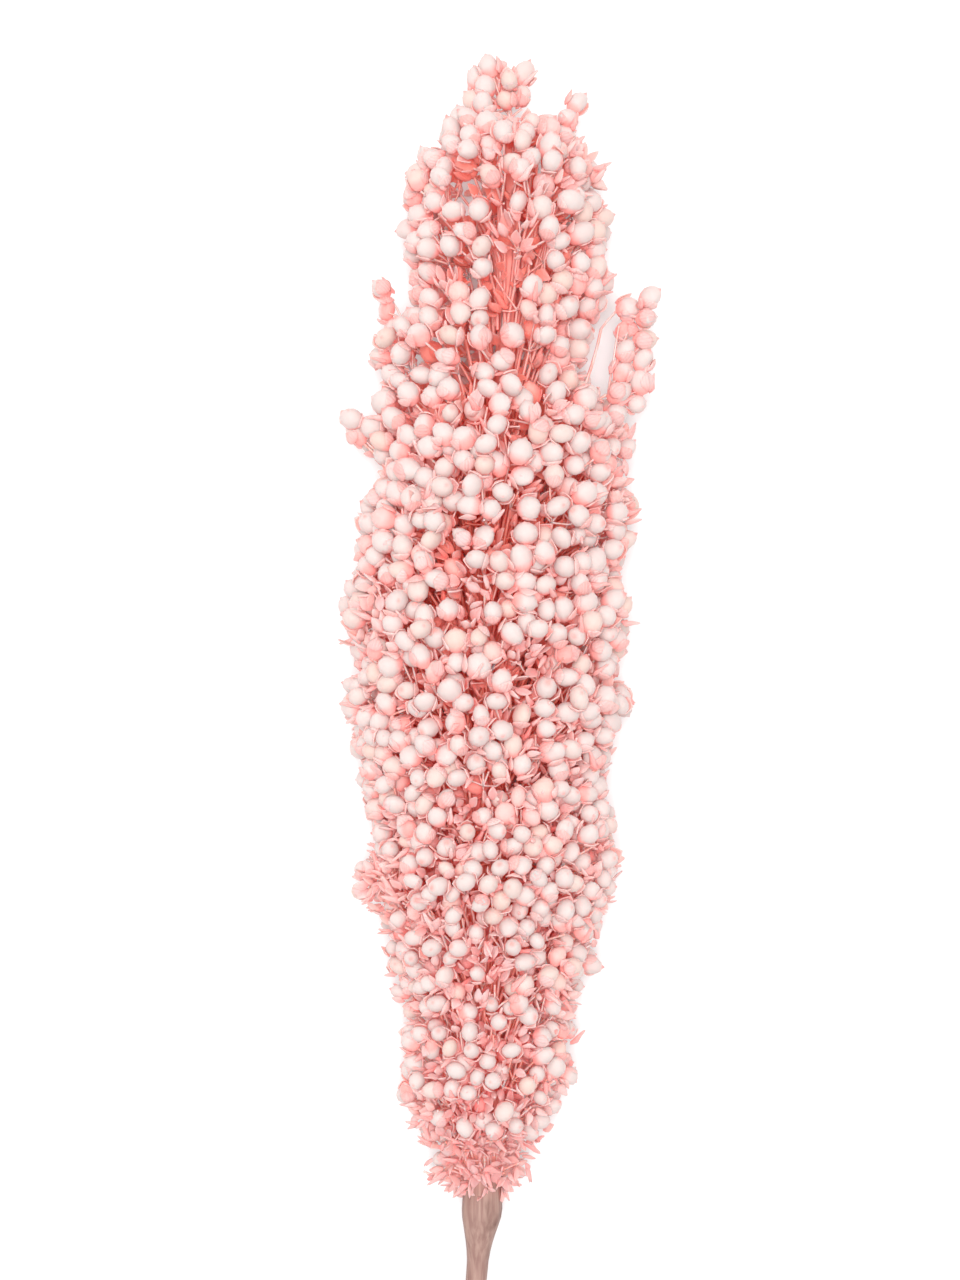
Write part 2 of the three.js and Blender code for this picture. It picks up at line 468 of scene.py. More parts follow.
@dataclass(frozen=True)
class HuskPattern:
    """A glume: a leaf that clasps the side of a seed. Its foot is under the seed and its point is up."""

    seed_radius: float = 2.28
    foot: float = -2.35
    tip: float = 0.9
    half_widths: tuple[float, ...] = (0.5, 1.7, 2.5, 2.3, 1.4, 0.15)
    columns: int = 4
    keel: float = 0.12
    flare: float = 0.3
    thickness: float = 0.12
    hug: float = 1.0

    def model(self) -> Shape:
        """Models the glume.

        Returns:
            Its shape.
        """
        rows = len(self.half_widths)
        Bench.clear()
        bpy.ops.mesh.primitive_grid_add(
            x_subdivisions=self.columns,
            y_subdivisions=rows - 1,
            size=2,
            location=(self.seed_radius, 0, 0),
            rotation=(math.pi / 2, 0, math.pi / 2),
        )
        husk = Bench.begin("husk")
        bpy.ops.object.transform_apply(location=True, rotation=True, scale=True)
        middle = (self.tip + self.foot) / 2
        with Bench.editing(husk):
            bpy.ops.mesh.select_all(action="SELECT")
            Bench.resize((1, 1, (self.tip - self.foot) / 2), (0, 0, 0))
            Bench.move((0, 0, middle))
            step = (self.tip - self.foot) / (rows - 1)
            for row, half_width in enumerate(self.half_widths):
                level = self.foot + row * step
                Bench.pick(husk, lambda co, level=level: abs(co.z - level) < 0.3 * step)
                Bench.resize((1, half_width, 1), (self.seed_radius, 0, level))
        Bench.mark_leaf(husk, max(self.half_widths), self.foot, self.tip)
        Bench.apply(
            husk,
            "CAST",
            cast_type="SPHERE",
            factor=self.hug,
            radius=0,
            use_radius_as_size=False,
            size=self.seed_radius,
        )
        with Bench.editing(husk):
            Bench.pick(husk, lambda co: abs(co.y) < 0.05 and co.z > self.foot + 0.5)
            Bench.move((self.keel, 0, 0))
            Bench.pick(husk, lambda co: co.z > 0.35 * self.tip)
            Bench.move((self.flare * 0.4, 0, 0))
            Bench.pick(husk, lambda co: co.z > 0.7 * self.tip)
            Bench.move((self.flare * 0.6, 0, 0.1))
        Bench.apply(husk, "SOLIDIFY", thickness=self.thickness, offset=1.0)
        with Bench.editing(husk):
            bpy.ops.mesh.select_all(action="SELECT")
            bpy.ops.mesh.normals_make_consistent(inside=False)
        return Bench.take(husk)


@dataclass(frozen=True)
class BudPattern:
    """A barren spikelet: a narrow, slightly bowed spindle with its foot at the origin and its point up."""

    length: float = 4.6
    radius: float = 0.78
    bow: float = 0.35

    def model(self) -> Shape:
        """Models the bud.

        Returns:
            Its shape.
        """
        Bench.clear()
        bpy.ops.mesh.primitive_uv_sphere_add(segments=6, ring_count=5, radius=1, location=(0, 0, 0))
        bud = Bench.begin("bud")
        half = self.length / 2
        with Bench.editing(bud):
            bpy.ops.mesh.select_all(action="SELECT")
            Bench.resize((self.radius, 0.8 * self.radius, half), (0, 0, 0))
            Bench.move((0, 0, half))
            Bench.pick(bud, lambda co: 0.2 * self.length < co.z < 0.6 * self.length)
            Bench.move((self.bow, 0, -0.06 * self.length))
            Bench.pick(bud, lambda co: 0.6 * self.length < co.z < 0.97 * self.length)
            Bench.resize((0.6, 0.6, 1), (0.3 * self.bow, 0, half))
        Bench.mark_leaf(bud, self.radius, 0, self.length)
        return Bench.take(bud)


# ---- Copies ----


@dataclass
class Sprinkle:
    """Copies of one shape: where each stands, which way it points and how it is turned, opened and tinted."""

    shape: Shape
    centres: Points
    axes: Points
    sides: Points
    scales: Points
    spins: Points
    openings: Points
    tints: Points
    foot: float = 0.0

    def __len__(self) -> int:
        """The number of copies."""
        return len(self.centres)

    def points(self) -> Points:
        """The points of all the copies.

        Returns:
            An array of copies by points by x, y, z.
        """
        local = self.shape.points[None] * self.scales[:, None, :]
        foot = (self.foot * self.scales[:, 2])[:, None]
        cos, sin = np.cos(self.openings)[:, None], np.sin(self.openings)[:, None]
        x, y, z = local[..., 0], local[..., 1], local[..., 2] - foot
        x, z = cos * x + sin * z, cos * z - sin * x + foot
        cos, sin = np.cos(self.spins)[:, None], np.sin(self.spins)[:, None]
        x, y = cos * x - sin * y, sin * x + cos * y
        up = unit(self.axes)
        side = unit(self.sides - up * np.sum(self.sides * up, axis=1, keepdims=True))
        across = np.cross(up, side)
        basis = np.stack([side, across, up], axis=1)
        return self.centres[:, None, :] + np.einsum("kni,kij->knj", np.stack([x, y, z], -1), basis)


class Sheaf:
    """Gathers copies of shapes into one piece's mesh."""

    def __init__(self, form: HeadForm) -> None:
        """Starts with nothing in it.

        Args:
            form: the head's form, which gives each point's depth.
        """
        self.form = form
        self.parts: list[Sprinkle] = []

    def add(self, part: Sprinkle) -> None:
        """Adds copies, if there are any."""
        if len(part):
            self.parts.append(part)

    def to_object(self, name: str, floor: float = 0.0) -> bpy.types.Object:
        """Makes the piece.

        Args:
            name: the piece's name.
            floor: the lowest height that a point may have, in millimetres.

        Returns:
            The object, at the origin, with its place in its mesh.
        """
        points, corners, sizes, leaf, tints = [], [], [], [], []
        start = 0
        for part in self.parts:
            made = part.points()
            copies, each = made.shape[:2]
            offsets = start + each * np.arange(copies)
            points.append(made.reshape(-1, 3))
            corners.append((part.shape.corners[None] + offsets[:, None]).ravel())
            sizes.append(np.tile(part.shape.sizes, copies))
            leaf.append(np.tile(part.shape.leaf, (copies, 1)))
            tints.append(np.repeat(part.tints, each))
            start += copies * each
        places = np.vstack(points)
        places[:, 2] = np.maximum(places[:, 2], floor)
        return mesh_object(
            name,
            self.form,
            places,
            np.concatenate(corners),
            np.concatenate(sizes),
            np.vstack(leaf),
            np.concatenate(tints),
        )


def mesh_object(
    name: str, form: HeadForm, places: Points, corners: Points, sizes: Points, leaf: Points, tints: Points
) -> bpy.types.Object:
    """Makes an object from points and faces.

    Args:
        name: the object's name.
        form: the head's form.
        places: the points, in millimetres in the head's own axes.
        corners: the faces' corners, one face after another.
        sizes: the number of corners of each face.
        leaf: each point's leaf mark.
        tints: each point's tint, 0 to 1.

    Returns:
        The object, shaded smooth, with its marks.
    """
    mesh = bpy.data.meshes.new(name)
    mesh.vertices.add(len(places))
    mesh.vertices.foreach_set("co", form.to_frame(places).astype(np.float32).ravel())
    mesh.loops.add(len(corners))
    mesh.loops.foreach_set("vertex_index", corners.astype(np.int32))
    mesh.polygons.add(len(sizes))
    starts = np.concatenate([[0], np.cumsum(sizes)[:-1]]).astype(np.int32)
    mesh.polygons.foreach_set("loop_start", starts)
    mesh.polygons.foreach_set("use_smooth", np.ones(len(sizes), bool))
    mesh.update(calc_edges=True)
    mesh.validate()
    mark_mesh(mesh, form, places, leaf, tints)
    obj = bpy.data.objects.new(name, mesh)
    bpy.context.scene.collection.objects.link(obj)
    return obj


def mark_mesh(mesh: bpy.types.Mesh, form: HeadForm, places: Points, leaf: Points, tints: Points) -> None:
    """Writes the marks that the finishes read.

    Args:
        mesh: the mesh to mark.
        form: the head's form.
        places: the points, in millimetres in the head's own axes.
        leaf: each point's leaf mark.
        tints: each point's tint.
    """
    depth = np.clip(form.depth_of(places) / FULL_DEPTH, 0.0, 1.0)
    marks = (
        (Mark.LEAF, "FLOAT_VECTOR", "vector", leaf),
        (Mark.TINT, "FLOAT", "value", tints),
        (Mark.DEPTH, "FLOAT", "value", depth),
    )
    for mark, kind, key, values in marks:
        attribute = mesh.attributes.new(mark.value, kind, "POINT")
        attribute.data.foreach_set(key, values.astype(np.float32).ravel())


# ---- Finishes ----


class NodeKit:
    """Builds a material's nodes."""

    def __init__(self, name: str) -> None:
        """Makes a material with a Principled shader.

        Args:
            name: the material's name.
        """
        self.material = bpy.data.materials.new(name)
        self.material.use_nodes = True
        self.tree = self.material.node_tree
        self.shader = self.tree.nodes["Principled BSDF"]

    def node(self, kind: str, **settings: object) -> Node:
        """Adds a node.

        Args:
            kind: Blender's name of the node.
            **settings: the node's settings.

        Returns:
            The node.
        """
        made = self.tree.nodes.new(kind)
        for key, value in settings.items():
            setattr(made, key, value)
        return made

    def link(self, source: Socket, target: Socket) -> None:
        """Links two sockets."""
        self.tree.links.new(source, target)

    def put(self, socket: Socket, value: Socket | float | tuple[float, ...]) -> None:
        """Links a socket to another one, or sets its value."""
        if isinstance(value, bpy.types.NodeSocket):
            self.link(value, socket)
        else:
            socket.default_value = value

    def mark(self, mark: Mark, output: str = "Fac") -> Socket:
        """The value of one of the mesh's marks."""
        return self.node("ShaderNodeAttribute", attribute_name=mark.value).outputs[output]

    def place(self) -> Socket:
        """The Object coordinates."""
        return self.node("ShaderNodeTexCoord").outputs["Object"]

    def noise(self, scale: float, detail: float = 3.0, stretch: tuple[float, float, float] = (1, 1, 1)) -> Socket:
        """Noise over the Object coordinates.

        Args:
            scale: its scale per metre.
            detail: its detail.
            stretch: the scale along each axis.

        Returns:
            The noise's value.
        """
        mapping = self.node("ShaderNodeMapping")
        mapping.inputs["Scale"].default_value = stretch
        self.link(self.place(), mapping.inputs["Vector"])
        made = self.node("ShaderNodeTexNoise")
        made.inputs["Scale"].default_value = scale
        made.inputs["Detail"].default_value = detail
        self.link(mapping.outputs["Vector"], made.inputs["Vector"])
        return made.outputs["Fac"]

    def math(self, operation: str, a: Socket | float, b: Socket | float = 0.0) -> Socket:
        """A sum or product of two values.

        Args:
            operation: Blender's name of the operation.
            a: the first value.
            b: the second value.

        Returns:
            The result.
        """
        made = self.node("ShaderNodeMath", operation=operation)
        self.put(made.inputs[0], a)
        self.put(made.inputs[1], b)
        return made.outputs[0]

    def place_along(self) -> Socket:
        """The place's distance along the head, in the frame's metres."""
        split = self.node("ShaderNodeSeparateXYZ")
        self.link(self.place(), split.inputs[0])
        return split.outputs["Y"]

    def head_share(self) -> Socket:
        """How far along the head the place is, from rose at the base to salmon at the tip."""
        return self.ramp(self.place_along(), -0.055, 0.045)

    def ramp(self, value: Socket, low: float, high: float, to_low: float = 0.0, to_high: float = 1.0) -> Socket:
        """A soft step from one value to another.

        Args:
            value: what it reads.
            low: where it starts.
            high: where it ends.
            to_low: its value at the start.
            to_high: its value at the end.

        Returns:
            The step's value.
        """
        made = self.node("ShaderNodeMapRange", interpolation_type="SMOOTHSTEP")
        self.link(value, made.inputs["Value"])
        for key, number in (("From Min", low), ("From Max", high), ("To Min", to_low), ("To Max", to_high)):
            made.inputs[key].default_value = number
        return made.outputs["Result"]

    def mix(self, share: Socket | float, a: Socket | tuple, b: Socket | tuple) -> Socket:
        """A mix of two colours.

        Args:
            share: how much of the second.
            a: the first colour.
            b: the second colour.

        Returns:
            The mixed colour.
        """
        made = self.node("ShaderNodeMix", data_type="RGBA")
        self.put(made.inputs["Factor"], share)
        self.put(made.inputs["A"], a)
        self.put(made.inputs["B"], b)
        return made.outputs["Result"]

    def bump(self, height: Socket, strength: float, distance: float) -> None:
        """Gives the shader a bump.

        Args:
            height: the bump's height.
            strength: how strong it is.
            distance: its depth in metres.
        """
        made = self.node("ShaderNodeBump")
        made.inputs["Strength"].default_value = strength
        made.inputs["Distance"].default_value = distance
        self.link(height, made.inputs["Height"])
        self.link(made.outputs["Normal"], self.shader.inputs["Normal"])

    def surface(self, colour: Socket, **values: float | tuple[float, ...]) -> None:
        """Gives the shader its colour and its plain values.

        Args:
            colour: the base colour.
            **values: the shader's other values, with _ for each space in a socket's name.
        """
        self.link(colour, self.shader.inputs["Base Color"])
        for name, value in values.items():
            self.shader.inputs[name.replace("_", " ")].default_value = value

    def leaf(self) -> tuple[Socket, Socket]:
        """The leaf mark.

        Returns:
            The place across and the place along.
        """
        split = self.node("ShaderNodeSeparateXYZ")
        self.link(self.mark(Mark.LEAF, "Vector"), split.inputs["Vector"])
        return split.outputs["X"], split.outputs["Y"]


Colour = tuple[float, float, float, float]


@dataclass(frozen=True)
class SeedFinish:
    """Chalky seed coat: cream on the cap, pink where the husks hold it with painted shade on the seed's lower side,
    and a painted salmon shade deep in the head.
    """

    name: str = "chalky_seed"
    cap: Colour = (0.65, 0.545, 0.52, 1)
    warm_cap: Colour = (0.69, 0.505, 0.44, 1)
    pink_cap: Colour = (0.82, 0.47, 0.44, 1)
    # Pink where the husks hold the seed, a colour that also paints the shade on its lower side.
    flank: Colour = (0.97, 0.35, 0.32, 1)
    # Painted shade colours for seeds deep in the head: rose towards the head's base, salmon towards its tip.
    painted_shade_rose: Colour = (0.98, 0.29, 0.27, 1)
    deep: Colour = (0.99, 0.31, 0.25, 1)
    sheen: float = 0.35
    sheen_tint: Colour = (1, 0.522, 0.494, 1)
    roughness: float = 0.62
    gloss: float = 0.25
    subsurface: float = 0.4
    scatter: tuple[float, float, float] = (1.0, 0.55, 0.48)
    scatter_depth: float = 0.0012
    mottle_share: float = 0.35

    def material(self) -> bpy.types.Material:
        """Builds the material.

        Returns:
            The material.
        """
        kit = NodeKit(self.name)
        _, along = kit.leaf()
        tint = kit.mark(Mark.TINT)
        mottle = kit.noise(420)
        edge = kit.math("ADD", along, kit.math("MULTIPLY", kit.math("SUBTRACT", mottle, 0.5), self.mottle_share))
        colour = kit.mix(kit.ramp(tint, 0.72, 1.0), self.cap, self.warm_cap)
        colour = kit.mix(kit.ramp(tint, 0.94, 1.0), colour, self.pink_cap)
        # Pink with painted shade towards the seed's lower side, where the husks hold it.
        colour = kit.mix(kit.ramp(edge, 0.1, 0.46), self.flank, colour)
        colour = kit.mix(kit.ramp(along, 1.0, 1.14), colour, self.flank)
        # Painted shade: the deeper a seed lies in the head, the more it takes the darker, redder shade colour.
        deep = kit.mix(kit.head_share(), self.painted_shade_rose, self.deep)
        colour = kit.mix(kit.ramp(kit.mark(Mark.DEPTH), 0.24, 0.6), colour, deep)
        kit.surface(
            colour,
            Roughness=self.roughness,
            Specular_IOR_Level=self.gloss,
            Sheen_Weight=self.sheen,
            Sheen_Tint=self.sheen_tint,
            Subsurface_Weight=self.subsurface,
            Subsurface_Radius=self.scatter,
            Subsurface_Scale=self.scatter_depth,
        )
        kit.bump(kit.noise(900, 4.0), 0.25, 0.0003)
        return kit.material


@dataclass(frozen=True)
class HuskFinish:
    """Papery pink husk: fine veins along it, paler at its edges and point, salmon at its foot, and a painted dark-red
    shade deep in the head.
    """

    name: str = "papery_husk"
    body: Colour = (0.95, 0.4, 0.375, 1)
    pale: Colour = (0.88, 0.52, 0.495, 1)
    rich: Colour = (0.97, 0.3, 0.28, 1)
    # Painted shade colour for husks deep in the head, towards the head's base.
    painted_shade_rose: Colour = (0.98, 0.2, 0.19, 1)
    base_rose: Colour = (0.84, 0.33, 0.32, 1)
    # Painted shade colour for husks deep in the head, towards the head's tip.
    deep: Colour = (0.99, 0.21, 0.165, 1)
    sheen: float = 0.4
    sheen_tint: Colour = (1, 0.57, 0.532, 1)
    veins: float = 26.0
    vein_share: float = 0.14
    roughness: float = 0.7
    gloss: float = 0.2
    subsurface: float = 0.6
    scatter: tuple[float, float, float] = (1.0, 0.6, 0.5)
    scatter_depth: float = 0.0008

    def material(self) -> bpy.types.Material:
        """Builds the material.

        Returns:
            The material.
        """
        kit = NodeKit(self.name)
        across, along = kit.leaf()
        tint = kit.mark(Mark.TINT)
        vein = kit.math("SINE", kit.math("MULTIPLY", across, self.veins))
        edge = kit.math("ABSOLUTE", across)
        colour = kit.mix(kit.ramp(tint, 0.3, 1.0), self.pale, self.body)
        colour = kit.mix(kit.ramp(along, 0.0, 0.55, 0.8, 0.0), colour, self.rich)
        colour = kit.mix(kit.ramp(edge, 0.55, 1.0, 0.0, 0.5), colour, self.pale)
        colour = kit.mix(kit.ramp(vein, 0.2, 1.0, 0.0, self.vein_share), colour, self.rich)
        colour = kit.mix(kit.ramp(kit.noise(260), 0.35, 0.7, 0.0, 0.3), colour, self.rich)
        colour = kit.mix(kit.ramp(kit.place_along(), -0.079, -0.05, 0.55, 0.0), colour, self.base_rose)
        # Painted shade: the deeper a husk lies in the head, the more it takes the darker, redder shade colour.
        deep = kit.mix(kit.head_share(), self.painted_shade_rose, self.deep)
        colour = kit.mix(kit.ramp(kit.mark(Mark.DEPTH), 0.26, 0.7), colour, deep)
        kit.surface(
            colour,
            Roughness=self.roughness,
            Specular_IOR_Level=self.gloss,
            Sheen_Weight=self.sheen,
            Sheen_Tint=self.sheen_tint,
            Subsurface_Weight=self.subsurface,
            Subsurface_Radius=self.scatter,
            Subsurface_Scale=self.scatter_depth,
        )
        kit.bump(kit.math("ADD", vein, kit.noise(1400, 3.0)), 0.3, 0.0001)
        return kit.material


@dataclass(frozen=True)
class BranchletFinish:
    """Dyed branchlets: streaked pale and salmon, with a painted deep-red shade deep in the head, painted light that
    makes them paler in the open upper part, and fine ribs along them.
    """

    name: str = "dyed_branchlet"
    pale: Colour = (0.9, 0.56, 0.53, 1)
    body: Colour = (0.97, 0.33, 0.28, 1)
    # Painted shade colour for branchlets deep in the head.
    deep: Colour = (0.99, 0.2, 0.14, 1)
    roughness: float = 0.65
    subsurface: float = 0.8
    scatter: tuple[float, float, float] = (1.0, 0.4, 0.3)
    scatter_depth: float = 0.001

    def material(self) -> bpy.types.Material:
        """Builds the material.

        Returns:
            The material.
        """
        kit = NodeKit(self.name)
        streak = kit.noise(900, 3.0, (1, 0.08, 1))
        depth = kit.mark(Mark.DEPTH)
        colour = kit.mix(kit.ramp(streak, 0.42, 0.62), self.pale, self.body)
        # Painted shade: the deeper a branchlet lies in the head, the more it takes the darker shade colour.
        colour = kit.mix(kit.ramp(depth, 0.4, 1.0, 0.0, 0.85), colour, self.deep)
        # Painted light: paler in the open upper part of the head, where light reaches the branchlets.
        colour = kit.mix(kit.ramp(kit.place_along(), 0.05, 0.085, 0.0, 0.4), colour, self.pale)
        kit.surface(
            colour,
            Roughness=self.roughness,
            Subsurface_Weight=self.subsurface,
            Subsurface_Radius=self.scatter,
            Subsurface_Scale=self.scatter_depth,
        )
        kit.bump(streak, 0.4, 0.0002)
        return kit.material


@dataclass(frozen=True)
class StemFinish:
    """A dry stem: dusty pink-brown with long fibres, dark flecks and a pinker rachis inside the head."""

    name: str = "dry_stem"
    body: Colour = (0.27, 0.14, 0.115, 1)
    light: Colour = (0.4, 0.24, 0.195, 1)
    dark: Colour = (0.15, 0.065, 0.05, 1)
    dyed: Colour = (0.93, 0.36, 0.3, 1)
    roughness: float = 0.72

    def material(self) -> bpy.types.Material:
        """Builds the material.

        Returns:
            The material.
        """
        kit = NodeKit(self.name)
        fibre = kit.noise(1500, 4.0, (1, 0.03, 1))
        fleck = kit.noise(260, 5.0, (1, 0.3, 1))
        _, along = kit.leaf()
        colour = kit.mix(kit.ramp(fibre, 0.3, 0.7), self.body, self.light)
        colour = kit.mix(kit.ramp(fleck, 0.58, 0.75, 0.0, 0.8), colour, self.dark)
        colour = kit.mix(kit.ramp(along, 0.0, 0.06), colour, self.dyed)
        kit.surface(colour, Roughness=self.roughness)
        kit.bump(kit.math("ADD", fibre, fleck), 0.5, 0.0004)
        return kit.material


@dataclass(frozen=True)
class FloorFinish:
    """A matt, near-white studio floor with the faintest grain."""

    name: str = "studio_floor"
    low: Colour = (0.93, 0.93, 0.93, 1)
    high: Colour = (0.95, 0.95, 0.95, 1)
    roughness: float = 0.9
    gloss: float = 0.1

    def material(self) -> bpy.types.Material:
        """Builds the material.

        Returns:
            The material.
        """
        kit = NodeKit(self.name)
        grain = kit.mix(kit.noise(3), self.low, self.high)
        kit.surface(grain, Roughness=self.roughness, Specular_IOR_Level=self.gloss)
        return kit.material


# ---- Where the spikelets stand ----


@dataclass(frozen=True)
class Band:
    """A change that comes in, or goes out, between two distances from the head's base."""

    start: float
    end: float
    change: float = 1.0

    def coming(self, along: float) -> float:
        """The change where it comes in from start to end."""
        return self.change * float(smooth_step(along, self.start, self.end))

    def going(self, along: float) -> float:
        """The change where it goes out from start to end."""
        return self.change * float(1.0 - smooth_step(along, self.start, self.end))


@dataclass(frozen=True)
class Layer:
    """One layer of spikelets under the outside of the head, in millimetres."""

    shallow: float
    deep: float
    spacing: float
    thinning: float
    tries: int


@dataclass(frozen=True)
class Hollow:
    """A gap between the branches on the upper side, where one looks in: its middle, half sizes and depth."""

    x: float
    along: float
    half_width: float
    half_length: float
    depth: float


@dataclass(frozen=True)
class Sprig:
    """A separate stack of spikelets, in pairs on the two sides of a line of (across, along) points."""

    line: tuple[tuple[float, float], ...]
    count: int
    half_width: float
    rise: float
    spacing: float = 3.1

    def spikelets(self, form: HeadForm) -> Points:
        """The middles of its spikelets.

        Args:
            form: the head's form.

        Returns:
            Rows of x, y, z.
        """
        line = np.array(self.line)
        along = np.linspace(line[0, 1], line[-1, 1], self.count)
        x = np.interp(along, line[:, 1], line[:, 0])
        side = np.where(np.arange(self.count) % 2, 1.0, -1.0)
        z = form.middle(along)[:, 2] + self.rise + RNG.uniform(-1.2, 1.2, self.count)
        return np.stack([x + self.half_width * side, along, z], axis=1)


@dataclass(frozen=True)
class HuskyPatch:
    """A patch where spikelets have shed their seeds: its middle and radius on the head seen from above."""

    x: float
    along: float
    radius: float


@dataclass
class Spikelets:
    """The spikelets of the head: where each one's middle is, which way it points, and whether it holds a seed."""

    centres: Points
    axes: Points
    seeded: Points
    branches: list[str] = field(default_factory=list)


class Thicket:
    """Keeps places that are not too close together."""

    def __init__(self, cell: float = 5.0) -> None:
        """Starts empty.

        Args:
            cell: the side of its cells, at least the widest spacing.
        """
        self.cell = cell
        self.kept: list[Points] = []
        self.grid: dict[tuple[int, int, int], list[Points]] = {}

    def offer(self, point: Points, spacing: float) -> bool:
        """Keeps a place if no kept one is nearer than the spacing.

        Args:
            point: the place.
            spacing: the least distance.

        Returns:
            Whether it was kept.
        """
        home = tuple(int(v // self.cell) for v in point)
        x, y, z = point
        for i in (home[0] - 1, home[0], home[0] + 1):
            for j in (home[1] - 1, home[1], home[1] + 1):
                for k in (home[2] - 1, home[2], home[2] + 1):
                    for other in self.grid.get((i, j, k), ()):
                        if (x - other[0]) ** 2 + (y - other[1]) ** 2 + (z - other[2]) ** 2 < spacing**2:
                            return False
        self.kept.append(point)
        self.grid.setdefault(home, []).append(point)
        return True


@dataclass(frozen=True)
class SpikeletLayout:
    """Places the spikelets: racemes on the outside, layers under them, hollows, and separate sprigs."""

    form: HeadForm
    lowest: float = 2.1
    unrest: float = 0.62
    rachis_end: float = 196.0
    racemes: int = 3000
    raceme_counts: tuple[int, int] = (2, 7)
    raceme_margins: tuple[float, float] = (8.0, 6.0)
    raceme_depths: tuple[float, float] = (2.0, 3.2)
    raceme_tilt: float = 0.35
    raceme_zigzags: tuple[float, float] = (0.2, 1.7)
    raceme_step: float = 3.75
    raceme_spacing: float = 3.55
    raceme_thinning: float = 0.05
    raceme_unrest: float = 0.25
    raceme_tip_margin: float = 2.0
    raceme_least_reach: float = 4.0
    raceme_fineness: Band = Band(60.0, 95.0, 0.1)
    opening: Band = Band(138.0, 150.0)
    closing: Band = Band(172.0, 184.0, 0.8)
    husky_base: Band = Band(12.0, 24.0, 0.14)
    fine_grain: Band = Band(60.0, 95.0, 0.11)
    layers: tuple[Layer, ...] = (
        Layer(2.1, 3.4, 3.7, 0.06, 30000),
        Layer(3.4, 6.0, 3.5, 0.26, 30000),
        Layer(6.0, 9.0, 3.9, 0.26, 14000),
        Layer(9.0, 13.0, 4.6, 0.26, 8000),
    )
    hollows: tuple[Hollow, ...] = (
        Hollow(4.0, 120.0, 2.8, 4.2, 8.0),
        Hollow(-2.0, 93.0, 3.2, 3.2, 7.5),
        Hollow(-4.0, 75.0, 4.0, 3.0, 8.0),
        Hollow(-2.0, 35.0, 2.8, 3.6, 7.5),
        Hollow(3.0, 163.0, 4.6, 7.5, 11.0),
        Hollow(9.0, 150.0, 2.8, 7.0, 10.0),
        Hollow(-6.0, 148.0, 2.6, 7.0, 10.0),
        Hollow(15.0, 141.0, 2.0, 4.0, 6.5),
        Hollow(-7.0, 168.0, 2.6, 5.0, 11.0),
        Hollow(8.0, 171.0, 2.8, 5.0, 11.0),
        Hollow(8.5, 76.0, 2.2, 2.6, 6.5),
        Hollow(-12.0, 108.0, 2.0, 3.0, 6.0),
        Hollow(12.0, 104.0, 2.2, 2.6, 6.5),
        Hollow(5.0, 55.0, 2.6, 2.4, 6.5),
        Hollow(3.0, 21.0, 3.0, 2.4, 6.5),
    )
    # Gaps that go right through the loose upper part: middle across, middle along, half width, half length.
    gaps: tuple[tuple[float, float, float, float], ...] = (
        (-5.4, 181.2, 3.9, 4.2), (4.2, 196.2, 3.6, 2.6), (8.6, 199.8, 2.4, 4.0), (20.2, 150.0, 2.7, 8.5),
        (-13.0, 152.0, 2.4, 3.2), (-18.2, 162.5, 2.0, 4.0), (14.6, 171.0, 1.6, 2.2),
        (19.5, 119.5, 2.2, 3.4),
    )
    wild_hollows: int = 46
    wild_along: tuple[float, float] = (22.0, 185.0)
    # The least and the most of a wild hollow's half width, half length and depth.
    wild_sizes: tuple[tuple[float, float], ...] = ((1.6, 2.6), (2.0, 4.0), (5.0, 8.0))
    layer_margins: tuple[float, float] = (1.5, 1.6)
    widest: float = 27.0
    core_radii: tuple[float, float] = (0.3, 2.6)
    floor_zone: float = 6.0
    floor_dip: float = -0.15
    patch_share: float = 0.3
    patches: tuple[HuskyPatch, ...] = (
        HuskyPatch(-22.0, 58.0, 7.0),
        HuskyPatch(22.0, 63.0, 5.0),
        HuskyPatch(-25.0, 103.0, 4.5),
        HuskyPatch(-4.0, 108.0, 4.0),
        HuskyPatch(5.0, 97.0, 4.0),
        HuskyPatch(24.0, 128.0, 4.0),
        HuskyPatch(19.5, 188.0, 4.2),
        HuskyPatch(-8.0, 66.0, 3.5),
        HuskyPatch(2.0, 47.0, 4.0),
    )
    # Distance from the base, then how far towards the tip the spikelets lean.
    lean: tuple[tuple[float, float], ...] = (
        (0.0, -0.5), (8.0, -0.15), (25.0, 0.3), (60.0, 0.5), (170.0, 0.6), (200.0, 1.2), (207.0, 3.0),
    )
    # Depth under the outside, then the share of the seeds that are still there.
    deep_share: tuple[tuple[float, float], ...] = ((3.4, 1.0), (3.8, 0.72), (5.4, 0.66), (7.0, 0.15))
    # Distance from the base, then the share of spikelets that hold a seed.
    seed_share: tuple[tuple[float, float], ...] = (
        (0.0, 0.06), (10.0, 0.12), (18.0, 0.55), (28.0, 0.82), (60.0, 0.92), (150.0, 0.95), (185.0, 0.9),
        (207.0, 0.88),
    )
    sprigs: tuple[Sprig, ...] = (
        Sprig(((24.2, 142.0), (25.3, 149.0), (25.9, 154.0), (26.0, 158.5), (26.8, 163.0)), 12, 1.75, 4.0),
        Sprig(((-16.4, 157.0), (-18.0, 161.0), (-18.9, 164.6)), 5, 0.6, 3.0),
        Sprig(((-22.4, 138.5), (-23.6, 142.5)), 4, 1.6, 3.5),
        Sprig(((11.0, 191.5), (12.4, 195.5), (14.0, 198.2)), 6, 1.7, 2.5),
        Sprig(((0.8, 198.0), (1.8, 205.0)), 9, 1.9, 3.2),
        Sprig(((1.4, 199.0), (1.8, 204.0)), 6, 4.3, 0.5),
        Sprig(((17.6, 184.0), (18.8, 189.5)), 5, 1.2, 1.5),
    )

